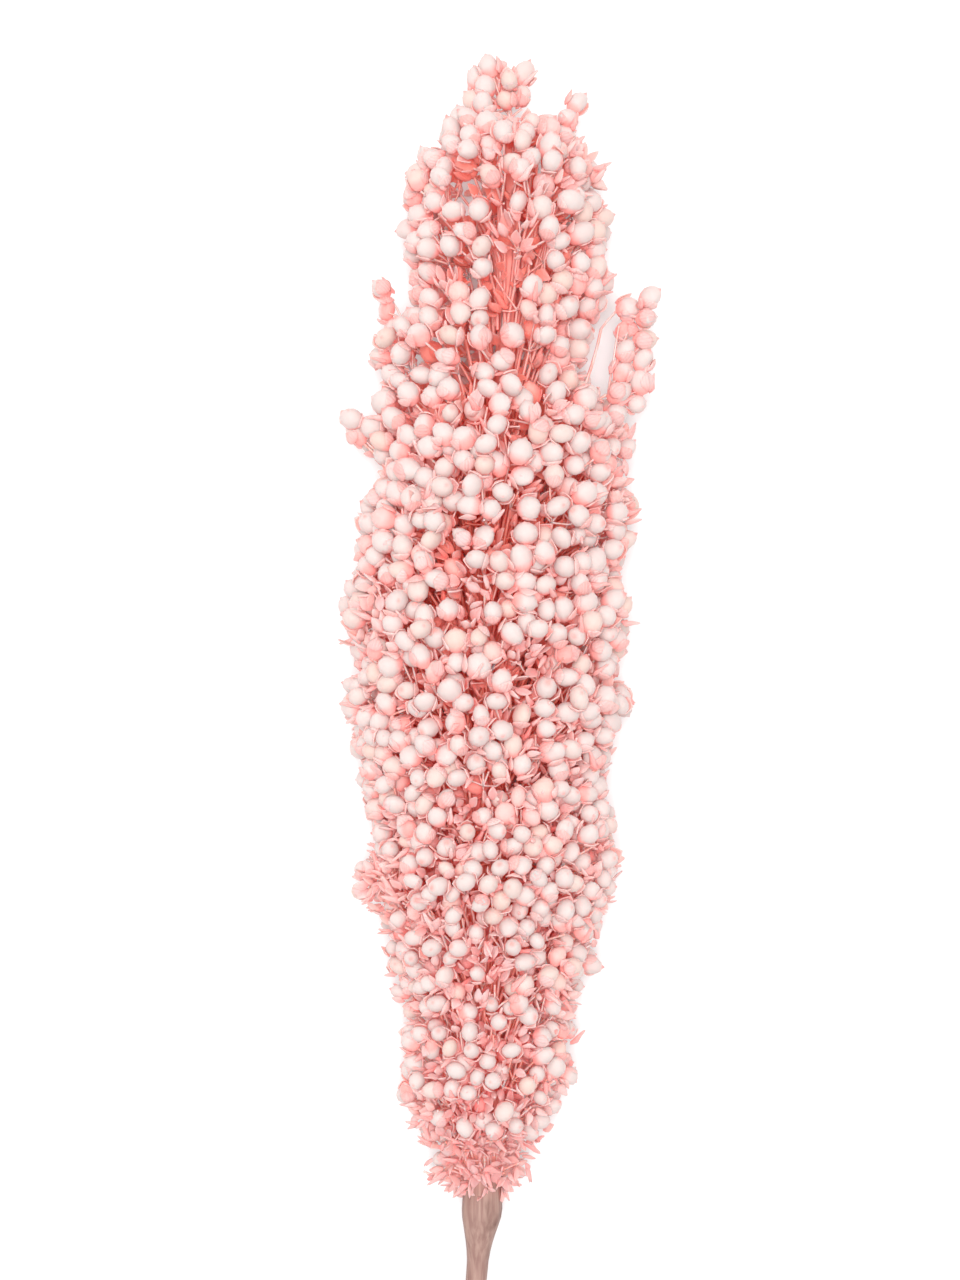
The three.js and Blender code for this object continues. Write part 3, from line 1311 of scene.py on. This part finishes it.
    def place(self) -> Spikelets:
        """Places them all.

        Returns:
            The spikelets.
        """
        thicket = Thicket()
        hollows = self._all_hollows()
        for sprig in self.sprigs:
            for point in sprig.spikelets(self.form):
                thicket.offer(point, sprig.spacing)
        self._add_racemes(thicket, hollows)
        for layer in self.layers:
            for point in self._candidates(layer, hollows):
                open_share = self.opening.coming(point[1]) * (1.0 - self.closing.coming(point[1]))
                loose = 1.0 + layer.thinning * open_share
                loose -= self.husky_base.going(point[1])
                loose -= self.fine_grain.going(point[1])
                thicket.offer(point, layer.spacing * loose)
        centres = np.array(thicket.kept)
        return Spikelets(centres, self._axes(centres), self._seeded(centres))

    def _all_hollows(self) -> list[tuple[float, Hollow]]:
        """The hollows of the upper side and others all round.

        Returns:
            Each with its angle round the middle line.
        """
        found = []
        for hollow in self.hollows:
            middle_x = float(self.form.middle(hollow.along)[..., 0])
            radius = float(self.form.radius(hollow.along, math.pi / 2)) / self.form.height_share
            share = min(1.0, max(-1.0, (hollow.x - middle_x) / radius))
            found.append((math.acos(share), hollow))
        for _ in range(self.wild_hollows):
            along = RNG.uniform(*self.wild_along)
            made = Hollow(0.0, along, *(RNG.uniform(*span) for span in self.wild_sizes))
            found.append((RNG.uniform(0.0, 2 * math.pi), made))
        return found

    def _clear_of(self, hollows: list[tuple[float, Hollow]], along: Points, azimuth: Points, depth: Points) -> Points:
        """Whether places are outside the hollows.

        Args:
            hollows: the hollows with their angles.
            along: the places' distances from the base.
            azimuth: their angles round the middle line.
            depth: how far under the outside they lie.

        Returns:
            True where a place is in no hollow.
        """
        radius = self.form.radius(along, azimuth)
        clear = np.ones(len(along), bool)
        for angle, hollow in hollows:
            turn = (azimuth - angle + math.pi) % (2 * math.pi) - math.pi
            across = turn * radius / hollow.half_width
            lengthwise = (along - hollow.along) / hollow.half_length
            clear &= (across**2 + lengthwise**2 > 1) | (depth > hollow.depth)
        return clear

    def _add_racemes(self, thicket: Thicket, hollows: list[tuple[float, Hollow]]) -> None:
        """Tries short stacks of spikelets on the outside of the head.

        Args:
            thicket: what keeps them.
            hollows: the hollows with their angles.
        """
        for _ in range(self.racemes):
            count = int(RNG.integers(*self.raceme_counts))
            start = RNG.uniform(self.raceme_margins[0], self.form.length - self.raceme_margins[1])
            azimuth = RNG.uniform(-math.pi, math.pi)
            depth = RNG.uniform(*self.raceme_depths)
            tilt = RNG.normal(0.0, self.raceme_tilt)
            zigzag = RNG.uniform(*self.raceme_zigzags)
            rise = math.sqrt(self.raceme_step**2 - (2 * zigzag) ** 2)
            steps = np.arange(count)
            side = np.where(steps % 2, zigzag, -zigzag)
            along = start + steps * rise * math.cos(tilt) - side * math.sin(tilt)
            along = np.minimum(along, self.form.length - self.raceme_tip_margin)
            reach = float(self.form.radius(start, azimuth))
            around = steps * rise * math.sin(tilt) + side * math.cos(tilt)
            turn = azimuth + around / max(reach, self.raceme_least_reach)
            depths = depth + RNG.normal(0.0, self.raceme_unrest, count)
            clear = self._clear_of(hollows, along, turn, depths)
            points = self.form.at(along, turn, depths - self.form.relief(along, turn))
            points[:, 2] = np.maximum(points[:, 2], self.lowest)
            clear &= ~self._in_gap(points)
            loose = 1.0 + self.raceme_thinning * self.opening.coming(start)
            loose -= self.raceme_fineness.going(start)
            for point in points[clear]:
                thicket.offer(point, loose * self.raceme_spacing)

    def _candidates(self, layer: Layer, hollows: list[tuple[float, Hollow]]) -> Points:
        """Random places in a layer, outside the hollows.

        Args:
            layer: the layer.
            hollows: the hollows with their angles.

        Returns:
            Rows of x, y, z.
        """
        along = RNG.uniform(self.layer_margins[0], self.form.length - self.layer_margins[1], layer.tries)
        azimuth = RNG.uniform(-math.pi, math.pi, layer.tries)
        depth = RNG.uniform(layer.shallow, layer.deep, layer.tries)
        radius = self.form.radius(along, azimuth)
        core = np.where(along > self.rachis_end, *self.core_radii)
        keep = (RNG.uniform(0.0, self.widest, layer.tries) < radius) & (radius - depth > core)
        keep &= self._clear_of(hollows, along, azimuth, depth)
        along, azimuth, depth = along[keep], azimuth[keep], depth[keep]
        points = self.form.at(along, azimuth, depth - self.form.relief(along, azimuth))
        points[:, 2] = np.maximum(points[:, 2], self.lowest)
        return points[~self._in_gap(points)]

    def _in_gap(self, points: Points) -> Points:
        """Whether places lie in a gap that goes right through the head.

        Args:
            points: rows of x, y, z.

        Returns:
            True where one does.
        """
        inside = np.zeros(len(points), bool)
        for x, along, half_width, half_length in self.gaps:
            across = (points[:, 0] - x) / half_width
            lengthwise = (points[:, 1] - along) / half_length
            inside |= across**2 + lengthwise**2 < 1
        return inside

    def _axes(self, centres: Points) -> Points:
        """Which way each spikelet points: out of the head and towards its tip, a little at random.

        Args:
            centres: their middles.

        Returns:
            Unit vectors.
        """
        lean = read_table(self.lean, centres[:, 1])
        out = self.form.outward(centres)
        axes = out + lean[:, None] * np.array([0.0, 1.0, 0.0]) + RNG.normal(0.0, self.unrest, centres.shape)
        near_floor = centres[:, 2] < self.floor_zone
        axes[near_floor, 2] = np.maximum(axes[near_floor, 2], self.floor_dip)
        return unit(axes)

    def _seeded(self, centres: Points) -> Points:
        """Whether each spikelet still holds its seed.

        Args:
            centres: their middles.

        Returns:
            True where it does.
        """
        share = read_table(self.seed_share, centres[:, 1])
        share = share * read_table(self.deep_share, self.form.depth_of(centres))
        for patch in self.patches:
            away = np.hypot(centres[:, 0] - patch.x, centres[:, 1] - patch.along)
            share = np.where(away < patch.radius, self.patch_share * share, share)
        return RNG.uniform(size=len(centres)) < share

    @staticmethod
    def assign(spikelets: Spikelets, form: HeadForm, nodes: dict[str, bpy.types.Object]) -> None:
        """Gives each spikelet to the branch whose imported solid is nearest.

        Args:
            spikelets: the spikelets.
            form: the head's form.
            nodes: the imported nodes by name.
        """
        names, points = [], []
        for name, node in nodes.items():
            if name == STEM_NODE:
                continue
            for vertex in node.data.vertices:
                names.append(name)
                points.append(vertex.co)
        tree = KDTree(len(points))
        for i, point in enumerate(points):
            tree.insert(point, i)
        tree.balance()
        for point in form.to_frame(spikelets.centres):
            spikelets.branches.append(names[tree.find(point)[1]])


# ---- The pieces ----


@dataclass(frozen=True)
class Patterns:
    """The shapes that repeat."""

    seeds: tuple[Shape, ...]
    cups: tuple[Shape, ...]
    blades: tuple[Shape, ...]
    bud: Shape

    @staticmethod
    def model() -> "Patterns":
        """Models each shape once.

        Returns:
            The shapes.
        """
        seeds = (
            SeedPattern(width_share=1.0, thickness_share=0.9, length_share=1.04),
            SeedPattern(width_share=1.08, thickness_share=0.86, skew=0.12, beak=0.3),
            SeedPattern(width_share=0.92, thickness_share=0.86, length_share=1.2, skew=-0.18),
            SeedPattern(width_share=1.0, length_share=1.12, skew=0.34, crease=0.14, beak=0.3),
            SeedPattern(width_share=1.06, thickness_share=0.8, length_share=1.1, crease=0.2),
        )
        cups = (
            HuskPattern(seed_radius=2.22),
            HuskPattern(tip=0.3, half_widths=(0.5, 1.8, 2.7, 2.6, 1.8, 0.4), flare=0.15),
            HuskPattern(tip=2.2, half_widths=(0.45, 1.5, 2.1, 1.9, 1.0, 0.06), flare=0.6, keel=0.2),
            HuskPattern(tip=2.1, half_widths=(0.5, 1.7, 2.6, 2.7, 2.0, 0.3), flare=0.0, seed_radius=2.34),
        )
        blades = tuple(
            HuskPattern(tip=tip, half_widths=widths, flare=flare, hug=hug, keel=keel, columns=2)
            for tip, widths, flare, hug, keel in (
                (2.2, (0.4, 1.2, 1.75, 1.6, 0.95, 0.08), 0.5, 0.85, 0.3),
                (1.4, (0.5, 1.5, 2.1, 1.9, 1.1, 0.3), 0.8, 0.7, 0.35),
                (2.8, (0.35, 0.95, 1.3, 1.15, 0.7, 0.05), 0.2, 0.9, 0.25),
            )
        )
        return Patterns(
            tuple(pattern.model() for pattern in seeds),
            tuple(pattern.model() for pattern in cups),
            tuple(pattern.model() for pattern in blades),
            BudPattern().model(),
        )


@dataclass
class Branch:
    """One primary branch: its seeds, its husks and its branchlets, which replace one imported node."""

    node: str
    form: HeadForm
    patterns: Patterns
    centres: Points
    axes: Points
    seeded: Points
    seed_size: tuple[float, float] = (0.81, 1.0)
    seed_unevenness: float = 0.055
    cup_turns: tuple[float, ...] = (0.0, math.pi)
    cup_openings: tuple[float, float] = (-0.03, 0.12)
    blade_turns: tuple[float, ...] = (0.0, 1.7, 3.3, 4.8)
    blade_openings: tuple[float, float] = (-0.05, 0.7)
    blade_width: float = 0.72
    leaf_size: float = 1.02
    leaf_unrest: float = 0.3
    common_shapes: float = 1.5
    floor: float = 0.02
    group_size: int = 5
    group_rounds: int = 6
    apart_depth: float = -0.8
    foot_drop: float = 2.3
    joint_inwards: float = 2.6
    joint_drop: float = 3.0
    climbs: tuple[float, float] = (18.0, 34.0)
    lifts: tuple[float, float] = (1.2, 2.4)
    apart_lift: float = 0.22
    rachis_reach: float = 2.2
    strand_radii: tuple[float, float] = (0.36, 0.25)
    stalk_radii: tuple[float, float, float] = (0.22, 0.19, 0.22)
    bud_share: float = 0.8
    bud_sizes: tuple[float, float] = (0.65, 1.0)
    bud_tilt: float = 0.35
    bud_drop: float = 2.2
    bud_aside: float = 1.6
    strand_steps: int = 7
    strand_sweep: float = 0.35
    strand_unrest: float = 0.02
    strand_floor: float = 0.8
    stalk_unrest: float = 0.25
    stalk_floor: float = 0.6
    # Distance from the head's base, then the size of the spikelets there.
    size_along: tuple[tuple[float, float], ...] = (
        (0.0, 0.82), (25.0, 0.84), (62.0, 0.88), (98.0, 1.02), (207.0, 1.0),
    )
    sizes: Points = field(init=False)
    sides: Points = field(init=False)
    spins: Points = field(init=False)

    def __post_init__(self) -> None:
        """Draws each spikelet's size and turn."""
        count = len(self.centres)
        self.sizes = read_table(self.size_along, self.centres[:, 1]) * RNG.uniform(*self.seed_size, count)
        self.sides = self._sides(count)
        self.spins = RNG.uniform(0, 2 * math.pi, count)

    def _sides(self, count: int) -> Points:
        """Random sideways vectors."""
        return unit(RNG.normal(size=(count, 3)))

    def build_seeds(self) -> bpy.types.Object | None:
        """Copies the seeds into their places.

        Returns:
            The piece, or None if the branch holds no seed.
        """
        sheaf = Sheaf(self.form)
        kind = RNG.integers(0, len(self.patterns.seeds), len(self.centres))
        for i, shape in enumerate(self.patterns.seeds):
            here = self.seeded & (kind == i)
            count = int(here.sum())
            shares = RNG.normal(1.0, self.seed_unevenness, (count, 3))
            sheaf.add(
                Sprinkle(
                    shape,
                    self.centres[here],
                    self.axes[here],
                    self.sides[here],
                    self.sizes[here][:, None] * shares,
                    self.spins[here],
                    np.zeros(count),
                    RNG.uniform(size=count),
                )
            )
        return sheaf.to_object(f"{self.node}_seeds", self.floor) if sheaf.parts else None

    def build_husks(self) -> bpy.types.Object:
        """Copies the husks into their places: a cup round each seed, open blades where there is none, and buds.

        Returns:
            The piece.
        """
        sheaf = Sheaf(self.form)
        for turn in self.cup_turns:
            self._add_leaves(sheaf, self.patterns.cups, self.seeded, turn, self.cup_openings, 1.0)
        for turn in self.blade_turns:
            self._add_leaves(sheaf, self.patterns.blades, ~self.seeded, turn, self.blade_openings, self.blade_width)
        self._add_buds(sheaf)
        return sheaf.to_object(f"{self.node}_husks", self.floor)

    def _add_leaves(
        self,
        sheaf: Sheaf,
        shapes: tuple[Shape, ...],
        group: Points,
        turn: float,
        openings: tuple[float, float],
        width: float,
    ) -> None:
        """Adds one leaf to each spikelet of a group.

        Args:
            sheaf: what they are added to.
            shapes: the shapes to choose from.
            group: True for each spikelet that gets one.
            turn: how far round the spikelet it stands.
            openings: the least and the most that it opens.
            width: its width as a share.
        """
        kind = (len(shapes) * RNG.uniform(size=len(self.centres)) ** self.common_shapes).astype(int)
        for i, shape in enumerate(shapes):
            here = group & (kind == i)
            number = int(here.sum())
            size = self.leaf_size * self.sizes[here][:, None] * np.array([width, width, 1.0])
            sheaf.add(
                Sprinkle(
                    shape,
                    self.centres[here],
                    self.axes[here],
                    self.sides[here],
                    size,
                    self.spins[here] + turn + RNG.normal(0, self.leaf_unrest, number),
                    RNG.uniform(*openings, number),
                    RNG.uniform(size=number),
                    HuskPattern.foot,
                )
            )

    def _add_buds(self, sheaf: Sheaf) -> None:
        """Adds the barren spikelets beside some of the others.

        Args:
            sheaf: what they are added to.
        """
        chosen = RNG.uniform(size=len(self.centres)) < np.where(self.seeded, self.bud_share, 1.0)
        number = int(chosen.sum())
        if not number:
            return
        tilt = unit(self.axes[chosen] + RNG.normal(0, self.bud_tilt, (number, 3)))
        sideways = unit(np.cross(self.axes[chosen], self._sides(number)))
        feet = self.centres[chosen] - self.bud_drop * self.axes[chosen] + self.bud_aside * sideways
        size = RNG.uniform(*self.bud_sizes, number)[:, None] * np.ones(3)
        sheaf.add(
            Sprinkle(
                self.patterns.bud,
                feet,
                tilt,
                self._sides(number),
                size,
                np.zeros(number),
                np.zeros(number),
                RNG.uniform(size=number),
            )
        )

    def _groups(self) -> list[Points]:
        """Groups the spikelets that share a branchlet; those that stand apart from the head keep to themselves.

        Returns:
            One array of indices for each group.
        """
        apart = self.form.depth_of(self.centres) < self.apart_depth
        return self._clusters(np.flatnonzero(~apart)) + self._clusters(np.flatnonzero(apart))

    def _clusters(self, members: Points) -> list[Points]:
        """Gathers neighbouring spikelets.

        Args:
            members: the indices to gather.

        Returns:
            One array of indices for each cluster.
        """
        if not len(members):
            return []
        centres = self.centres[members]
        count = max(1, round(len(members) / self.group_size))
        middles = centres[RNG.choice(len(members), count, replace=False)]
        nearest = np.zeros(len(members), int)
        for _ in range(self.group_rounds):
            away = np.linalg.norm(centres[:, None] - middles[None], axis=2)
            nearest = away.argmin(axis=1)
            middles = np.array(
                [centres[nearest == i].mean(axis=0) if (nearest == i).any() else middles[i] for i in range(count)]
            )
        return [members[nearest == i] for i in range(count) if (nearest == i).any()]

    def build_branchlets(self) -> bpy.types.Object:
        """Grows the branchlets as one curve of many strands and makes it a mesh.

        Returns:
            The piece.
        """
        curve = bpy.data.curves.new(f"{self.node}_branchlets", "CURVE")
        curve.dimensions = "3D"
        curve.bevel_depth = 1.0 * MM
        curve.bevel_resolution = 0
        curve.use_fill_caps = True
        for group in self._groups():
            self._grow_group(curve, group)
        obj = bpy.data.objects.new(curve.name, curve)
        bpy.context.scene.collection.objects.link(obj)
        Bench.clear()
        obj.select_set(True)
        bpy.context.view_layer.objects.active = obj
        bpy.ops.object.convert(target="MESH")
        made = bpy.context.active_object
        made.name = made.data.name = f"{self.node}_branchlets"
        points = np.empty(len(made.data.vertices) * 3)
        made.data.vertices.foreach_get("co", points)
        places = self.form.from_frame(points.reshape(-1, 3))
        mark_mesh(made.data, self.form, places, np.zeros((len(places), 3)), np.zeros(len(places)))
        return made

    def _grow_group(self, curve: bpy.types.Curve, group: Points) -> None:
        """Grows the strand of one group from the rachis, and its spikelets' own short stalks.

        Args:
            curve: what they are added to.
            group: the indices of the group's spikelets.
        """
        feet = self.centres[group] - self.foot_drop * self.axes[group]
        middle = feet.mean(axis=0)[None]
        inwards = -self.form.outward(middle)
        end = middle + self.joint_inwards * inwards - np.array([[0.0, self.joint_drop, 0.0]])
        climb = RNG.uniform(*self.climbs)
        apart = self.form.depth_of(end)[0] < self.apart_depth
        start = max(float(end[0, 1]) - climb, 2.0 + RNG.uniform(0, 3))
        azimuth = self.form.azimuth_of(end)[0]
        off = end[0] - self.form.middle(end[:, 1])[0]
        reach = math.hypot(off[0], off[2])
        steps = self.strand_steps
        t = np.linspace(0.0, 1.0, steps)
        along = start + (end[0, 1] - start) * t
        lift = RNG.uniform(*self.lifts)
        radial = self.rachis_reach + (reach - self.rachis_reach) * t ** (self.apart_lift if apart else lift)
        turn = azimuth + RNG.normal(0, self.strand_sweep) * (1 - t) ** 2
        turn = turn + RNG.normal(0, self.strand_unrest, steps) * (t < 1)
        path = self.form.middle(along) + np.stack([np.cos(turn) * radial, 0 * t, np.sin(turn) * radial], axis=1)
        path[:, 2] = np.maximum(path[:, 2], self.strand_floor)
        add_strand(curve, self.form, path, np.linspace(*self.strand_radii, steps))
        for foot in feet:
            bend = 0.5 * (foot + end[0]) + RNG.normal(0, self.stalk_unrest, 3)
            stalk = np.array([end[0], bend, foot])
            stalk[:, 2] = np.maximum(stalk[:, 2], self.stalk_floor)
            add_strand(curve, self.form, stalk, np.array(self.stalk_radii))


def add_strand(curve: bpy.types.Curve, form: HeadForm, path: Points, radii: Points) -> None:
    """Adds one strand to a curve.

    Args:
        curve: the curve.
        form: the head's form.
        path: the strand's points in millimetres.
        radii: its radius at each, in millimetres.
    """
    spline = curve.splines.new("POLY")
    spline.points.add(len(path) - 1)
    for point, place, radius in zip(spline.points, form.to_frame(path), radii):
        point.co = (*place, 1.0)
        point.radius = radius


@dataclass(frozen=True)
class Stem:
    """The cut stem, its collar and the rachis: one grown stalk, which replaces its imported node."""

    form: HeadForm
    sides: int = 20
    ridge: float = 0.05
    step: float = 3.0
    # Distance from the head's base, then the radius.
    radii: tuple[tuple[float, float], ...] = (
        (-48.0, 1.95), (-30.0, 1.75), (-16.0, 1.75), (-11.0, 1.85), (-8.5, 2.2), (-6.0, 2.8), (-3.5, 3.45),
        (-1.0, 3.6), (2.0, 3.2), (6.0, 2.7), (60.0, 2.3), (140.0, 1.6), (197.0, 0.8),
    )

    def build(self) -> bpy.types.Object:
        """Extrudes the stalk ring by ring from its cut end.

        Returns:
            The piece.
        """
        table = np.array(self.radii)
        fine = np.arange(-self.form.stem_length, 8.0, 1.6)
        coarse = np.arange(8.0 + self.step, table[-1, 0], 8.0)
        stations = np.concatenate([fine, coarse])
        line = self.form.middle(stations)
        radius = np.interp(stations, table[:, 0], table[:, 1])
        Bench.clear()
        bpy.ops.mesh.primitive_circle_add(
            vertices=self.sides,
            radius=radius[0],
            fill_type="NGON",
            location=tuple(line[0]),
            rotation=(math.pi / 2, 0, 0),
        )
        stalk = Bench.begin("stem")
        bpy.ops.object.transform_apply(location=True, rotation=True, scale=True)
        with Bench.editing(stalk):
            bpy.ops.mesh.select_all(action="SELECT")
            for here, there, now, then in zip(line, line[1:], radius, radius[1:]):
                bpy.ops.mesh.extrude_region_move(TRANSFORM_OT_translate={"value": tuple(there - here)})
                Bench.resize((then / now, 1, then / now), tuple(there))
            bpy.ops.mesh.select_all(action="SELECT")
            bpy.ops.mesh.normals_make_consistent(inside=False)
            Bench.pick(stalk, lambda co: co.y < line[0][1] + 0.1)
            bpy.ops.mesh.inset(thickness=0.35)
            bpy.ops.mesh.extrude_region_move(TRANSFORM_OT_translate={"value": (0, 0.5, 0)})
        self._rib(stalk)
        return self._to_frame(stalk)

    def _rib(self, stalk: bpy.types.Object) -> None:
        """Raises ribs along the stalk and swells the collar unevenly.

        Args:
            stalk: the modelled stalk.
        """
        mesh = stalk.data
        points = np.empty(len(mesh.vertices) * 3)
        mesh.vertices.foreach_get("co", points)
        points = points.reshape(-1, 3)
        middle = self.form.middle(points[:, 1])
        off = points - middle
        turn = np.arctan2(off[:, 2], off[:, 0])
        swell = 1 + self.ridge * np.cos(0.5 * self.sides * turn)
        collar = np.exp(-(((points[:, 1] + 2.5) / 4.0) ** 2))
        swell += 0.07 * collar * np.sin(3 * turn + 0.8) + 0.03 * np.sin(points[:, 1] * 0.35 + 2 * turn)
        off[:, 0] *= swell
        off[:, 2] *= swell
        mesh.vertices.foreach_set("co", (middle + off).ravel())
        mesh.update()

    def _to_frame(self, stalk: bpy.types.Object) -> bpy.types.Object:
        """Puts the stalk in the frame and marks it.

        Args:
            stalk: the modelled stalk, in millimetres.

        Returns:
            The piece.
        """
        mesh = stalk.data
        points = np.empty(len(mesh.vertices) * 3)
        mesh.vertices.foreach_get("co", points)
        points = points.reshape(-1, 3)
        leaf = np.zeros_like(points)
        leaf[:, 1] = points[:, 1] / self.form.length
        mesh.vertices.foreach_set("co", self.form.to_frame(points).ravel())
        mesh.update()
        mark_mesh(mesh, self.form, points, leaf, np.zeros(len(points)))
        stalk.name = mesh.name = "stalk"
        for polygon in mesh.polygons:
            polygon.use_smooth = len(polygon.vertices) == 4
        return stalk


# ---- The studio ----


@dataclass(frozen=True)
class Studio:
    """A pale floor, a soft key lamp, a fill lamp overhead, and a camera that looks straight down."""

    form: HeadForm
    floor_size: float = 4.0
    lens: float = 85.0
    sensor: float = 36.0
    view_length: float = 230.4
    view_x: float = -1.8
    view_along: float = 101.7
    view_height: float = 20.0
    world_strength: float = 0.5
    key_power: float = 4.2
    key_size: float = 1.2
    key_place: tuple[float, float, float] = (-0.4, 0.7, 1.0)
    fill_power: float = 15.0
    fill_size: float = 0.4
    fill_place: tuple[float, float, float] = (0.0, 0.05, 1.25)
    soft_bounces: int = 28
    shadow_lift: float = 1.1

    def build(self) -> None:
        """Sets it all up."""
        self._floor()
        self._light()
        self._camera()

    def _floor(self) -> None:
        """Lays the floor."""
        Bench.clear()
        bpy.ops.mesh.primitive_plane_add(size=self.floor_size, location=(0, 0, 0))
        floor = Bench.begin("floor")
        floor.data.materials.append(FloorFinish().material())

    def _light(self) -> None:
        """Makes the sky and the two soft lamps."""
        world = bpy.data.worlds.new("studio")
        world.use_nodes = True
        background = world.node_tree.nodes["Background"]
        background.inputs["Color"].default_value = (1, 1, 1, 1)
        background.inputs["Strength"].default_value = self.world_strength
        bpy.context.scene.world = world
        self._lamp("key", self.key_place, self.key_size, self.key_power)
        self._lamp("fill", self.fill_place, self.fill_size, self.fill_power)
        bpy.context.scene.view_settings.view_transform = "Standard"
        bpy.context.scene.view_settings.gamma = self.shadow_lift
        bpy.context.scene.cycles.diffuse_bounces = self.soft_bounces
        bpy.context.scene.cycles.max_bounces = self.soft_bounces

    @staticmethod
    def _lamp(name: str, place: tuple[float, float, float], size: float, power: float) -> None:
        """Hangs a round soft lamp that points at the head.

        Args:
            name: its name.
            place: where it hangs.
            size: how wide it is.
            power: its power in watts.
        """
        data = bpy.data.lights.new(name, "AREA")
        data.shape = "DISK"
        data.size = size
        data.energy = power
        lamp = bpy.data.objects.new(name, data)
        lamp.location = place
        lamp.rotation_euler = (-Vector(place)).to_track_quat("-Z", "Y").to_euler()
        bpy.context.scene.collection.objects.link(lamp)

    def _camera(self) -> None:
        """Hangs the camera over the head."""
        data = bpy.data.cameras.new("camera")
        data.lens = self.lens
        data.sensor_width = self.sensor
        camera = bpy.data.objects.new("camera", data)
        x, y, _ = self.form.to_frame(np.array([self.view_x, self.view_along, 0.0]))
        away = self.lens / self.sensor * self.view_length * MM
        camera.location = (x, y, self.view_height * MM + away)
        bpy.context.scene.collection.objects.link(camera)
        bpy.context.scene.camera = camera


# ---- The whole head ----


@dataclass
class SeedHead:
    """The whole seed head: its stalk and its branches."""

    form: HeadForm
    finishes: dict[Slot, bpy.types.Material] = field(default_factory=dict)

    def build(self, nodes: dict[str, bpy.types.Object]) -> None:
        """Builds every piece and dresses it.

        Args:
            nodes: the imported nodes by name.
        """
        self.finishes = {
            Slot.STEM: StemFinish().material(),
            Slot.BRANCHLET: BranchletFinish().material(),
            Slot.HUSK: HuskFinish().material(),
            Slot.SEED: SeedFinish().material(),
        }
        self._dress(Stem(self.form).build(), Slot.STEM, STEM_NODE)
        patterns = Patterns.model()
        layout = SpikeletLayout(self.form)
        spikelets = layout.place()
        layout.assign(spikelets, self.form, nodes)
        owners = np.array(spikelets.branches)
        log.info("%d spikelets, %d with seeds", len(owners), int(spikelets.seeded.sum()))
        for node in sorted(name for name in nodes if name != STEM_NODE):
            mine = owners == node
            if not mine.any():
                log.warning("%s has no spikelets", node)
                continue
            branch = Branch(
                node, self.form, patterns, spikelets.centres[mine], spikelets.axes[mine], spikelets.seeded[mine]
            )
            self._dress(branch.build_branchlets(), Slot.BRANCHLET, node)
            self._dress(branch.build_husks(), Slot.HUSK, node)
            seeds = branch.build_seeds()
            if seeds is not None:
                self._dress(seeds, Slot.SEED, node)

    def _dress(self, piece: bpy.types.Object, slot: Slot, node: str) -> None:
        """Gives a piece its finish and its place in the frame.

        Args:
            piece: the piece.
            slot: the material slot that it takes its finish from.
            node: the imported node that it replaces.
        """
        piece.data.materials.clear()
        piece.data.materials.append(self.finishes[slot])
        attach(piece, ROOT_BODY)
        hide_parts(node)
        log.info("%s: %d faces", piece.name, len(piece.data.polygons))


def main() -> None:
    """Builds the head and the studio round it."""
    logging.basicConfig(level=logging.INFO, format="%(name)s %(message)s")
    form = HeadForm()
    SeedHead(form).build(frame["nodes"])
    Studio(form).build()


if __name__ == "__main__":
    main()
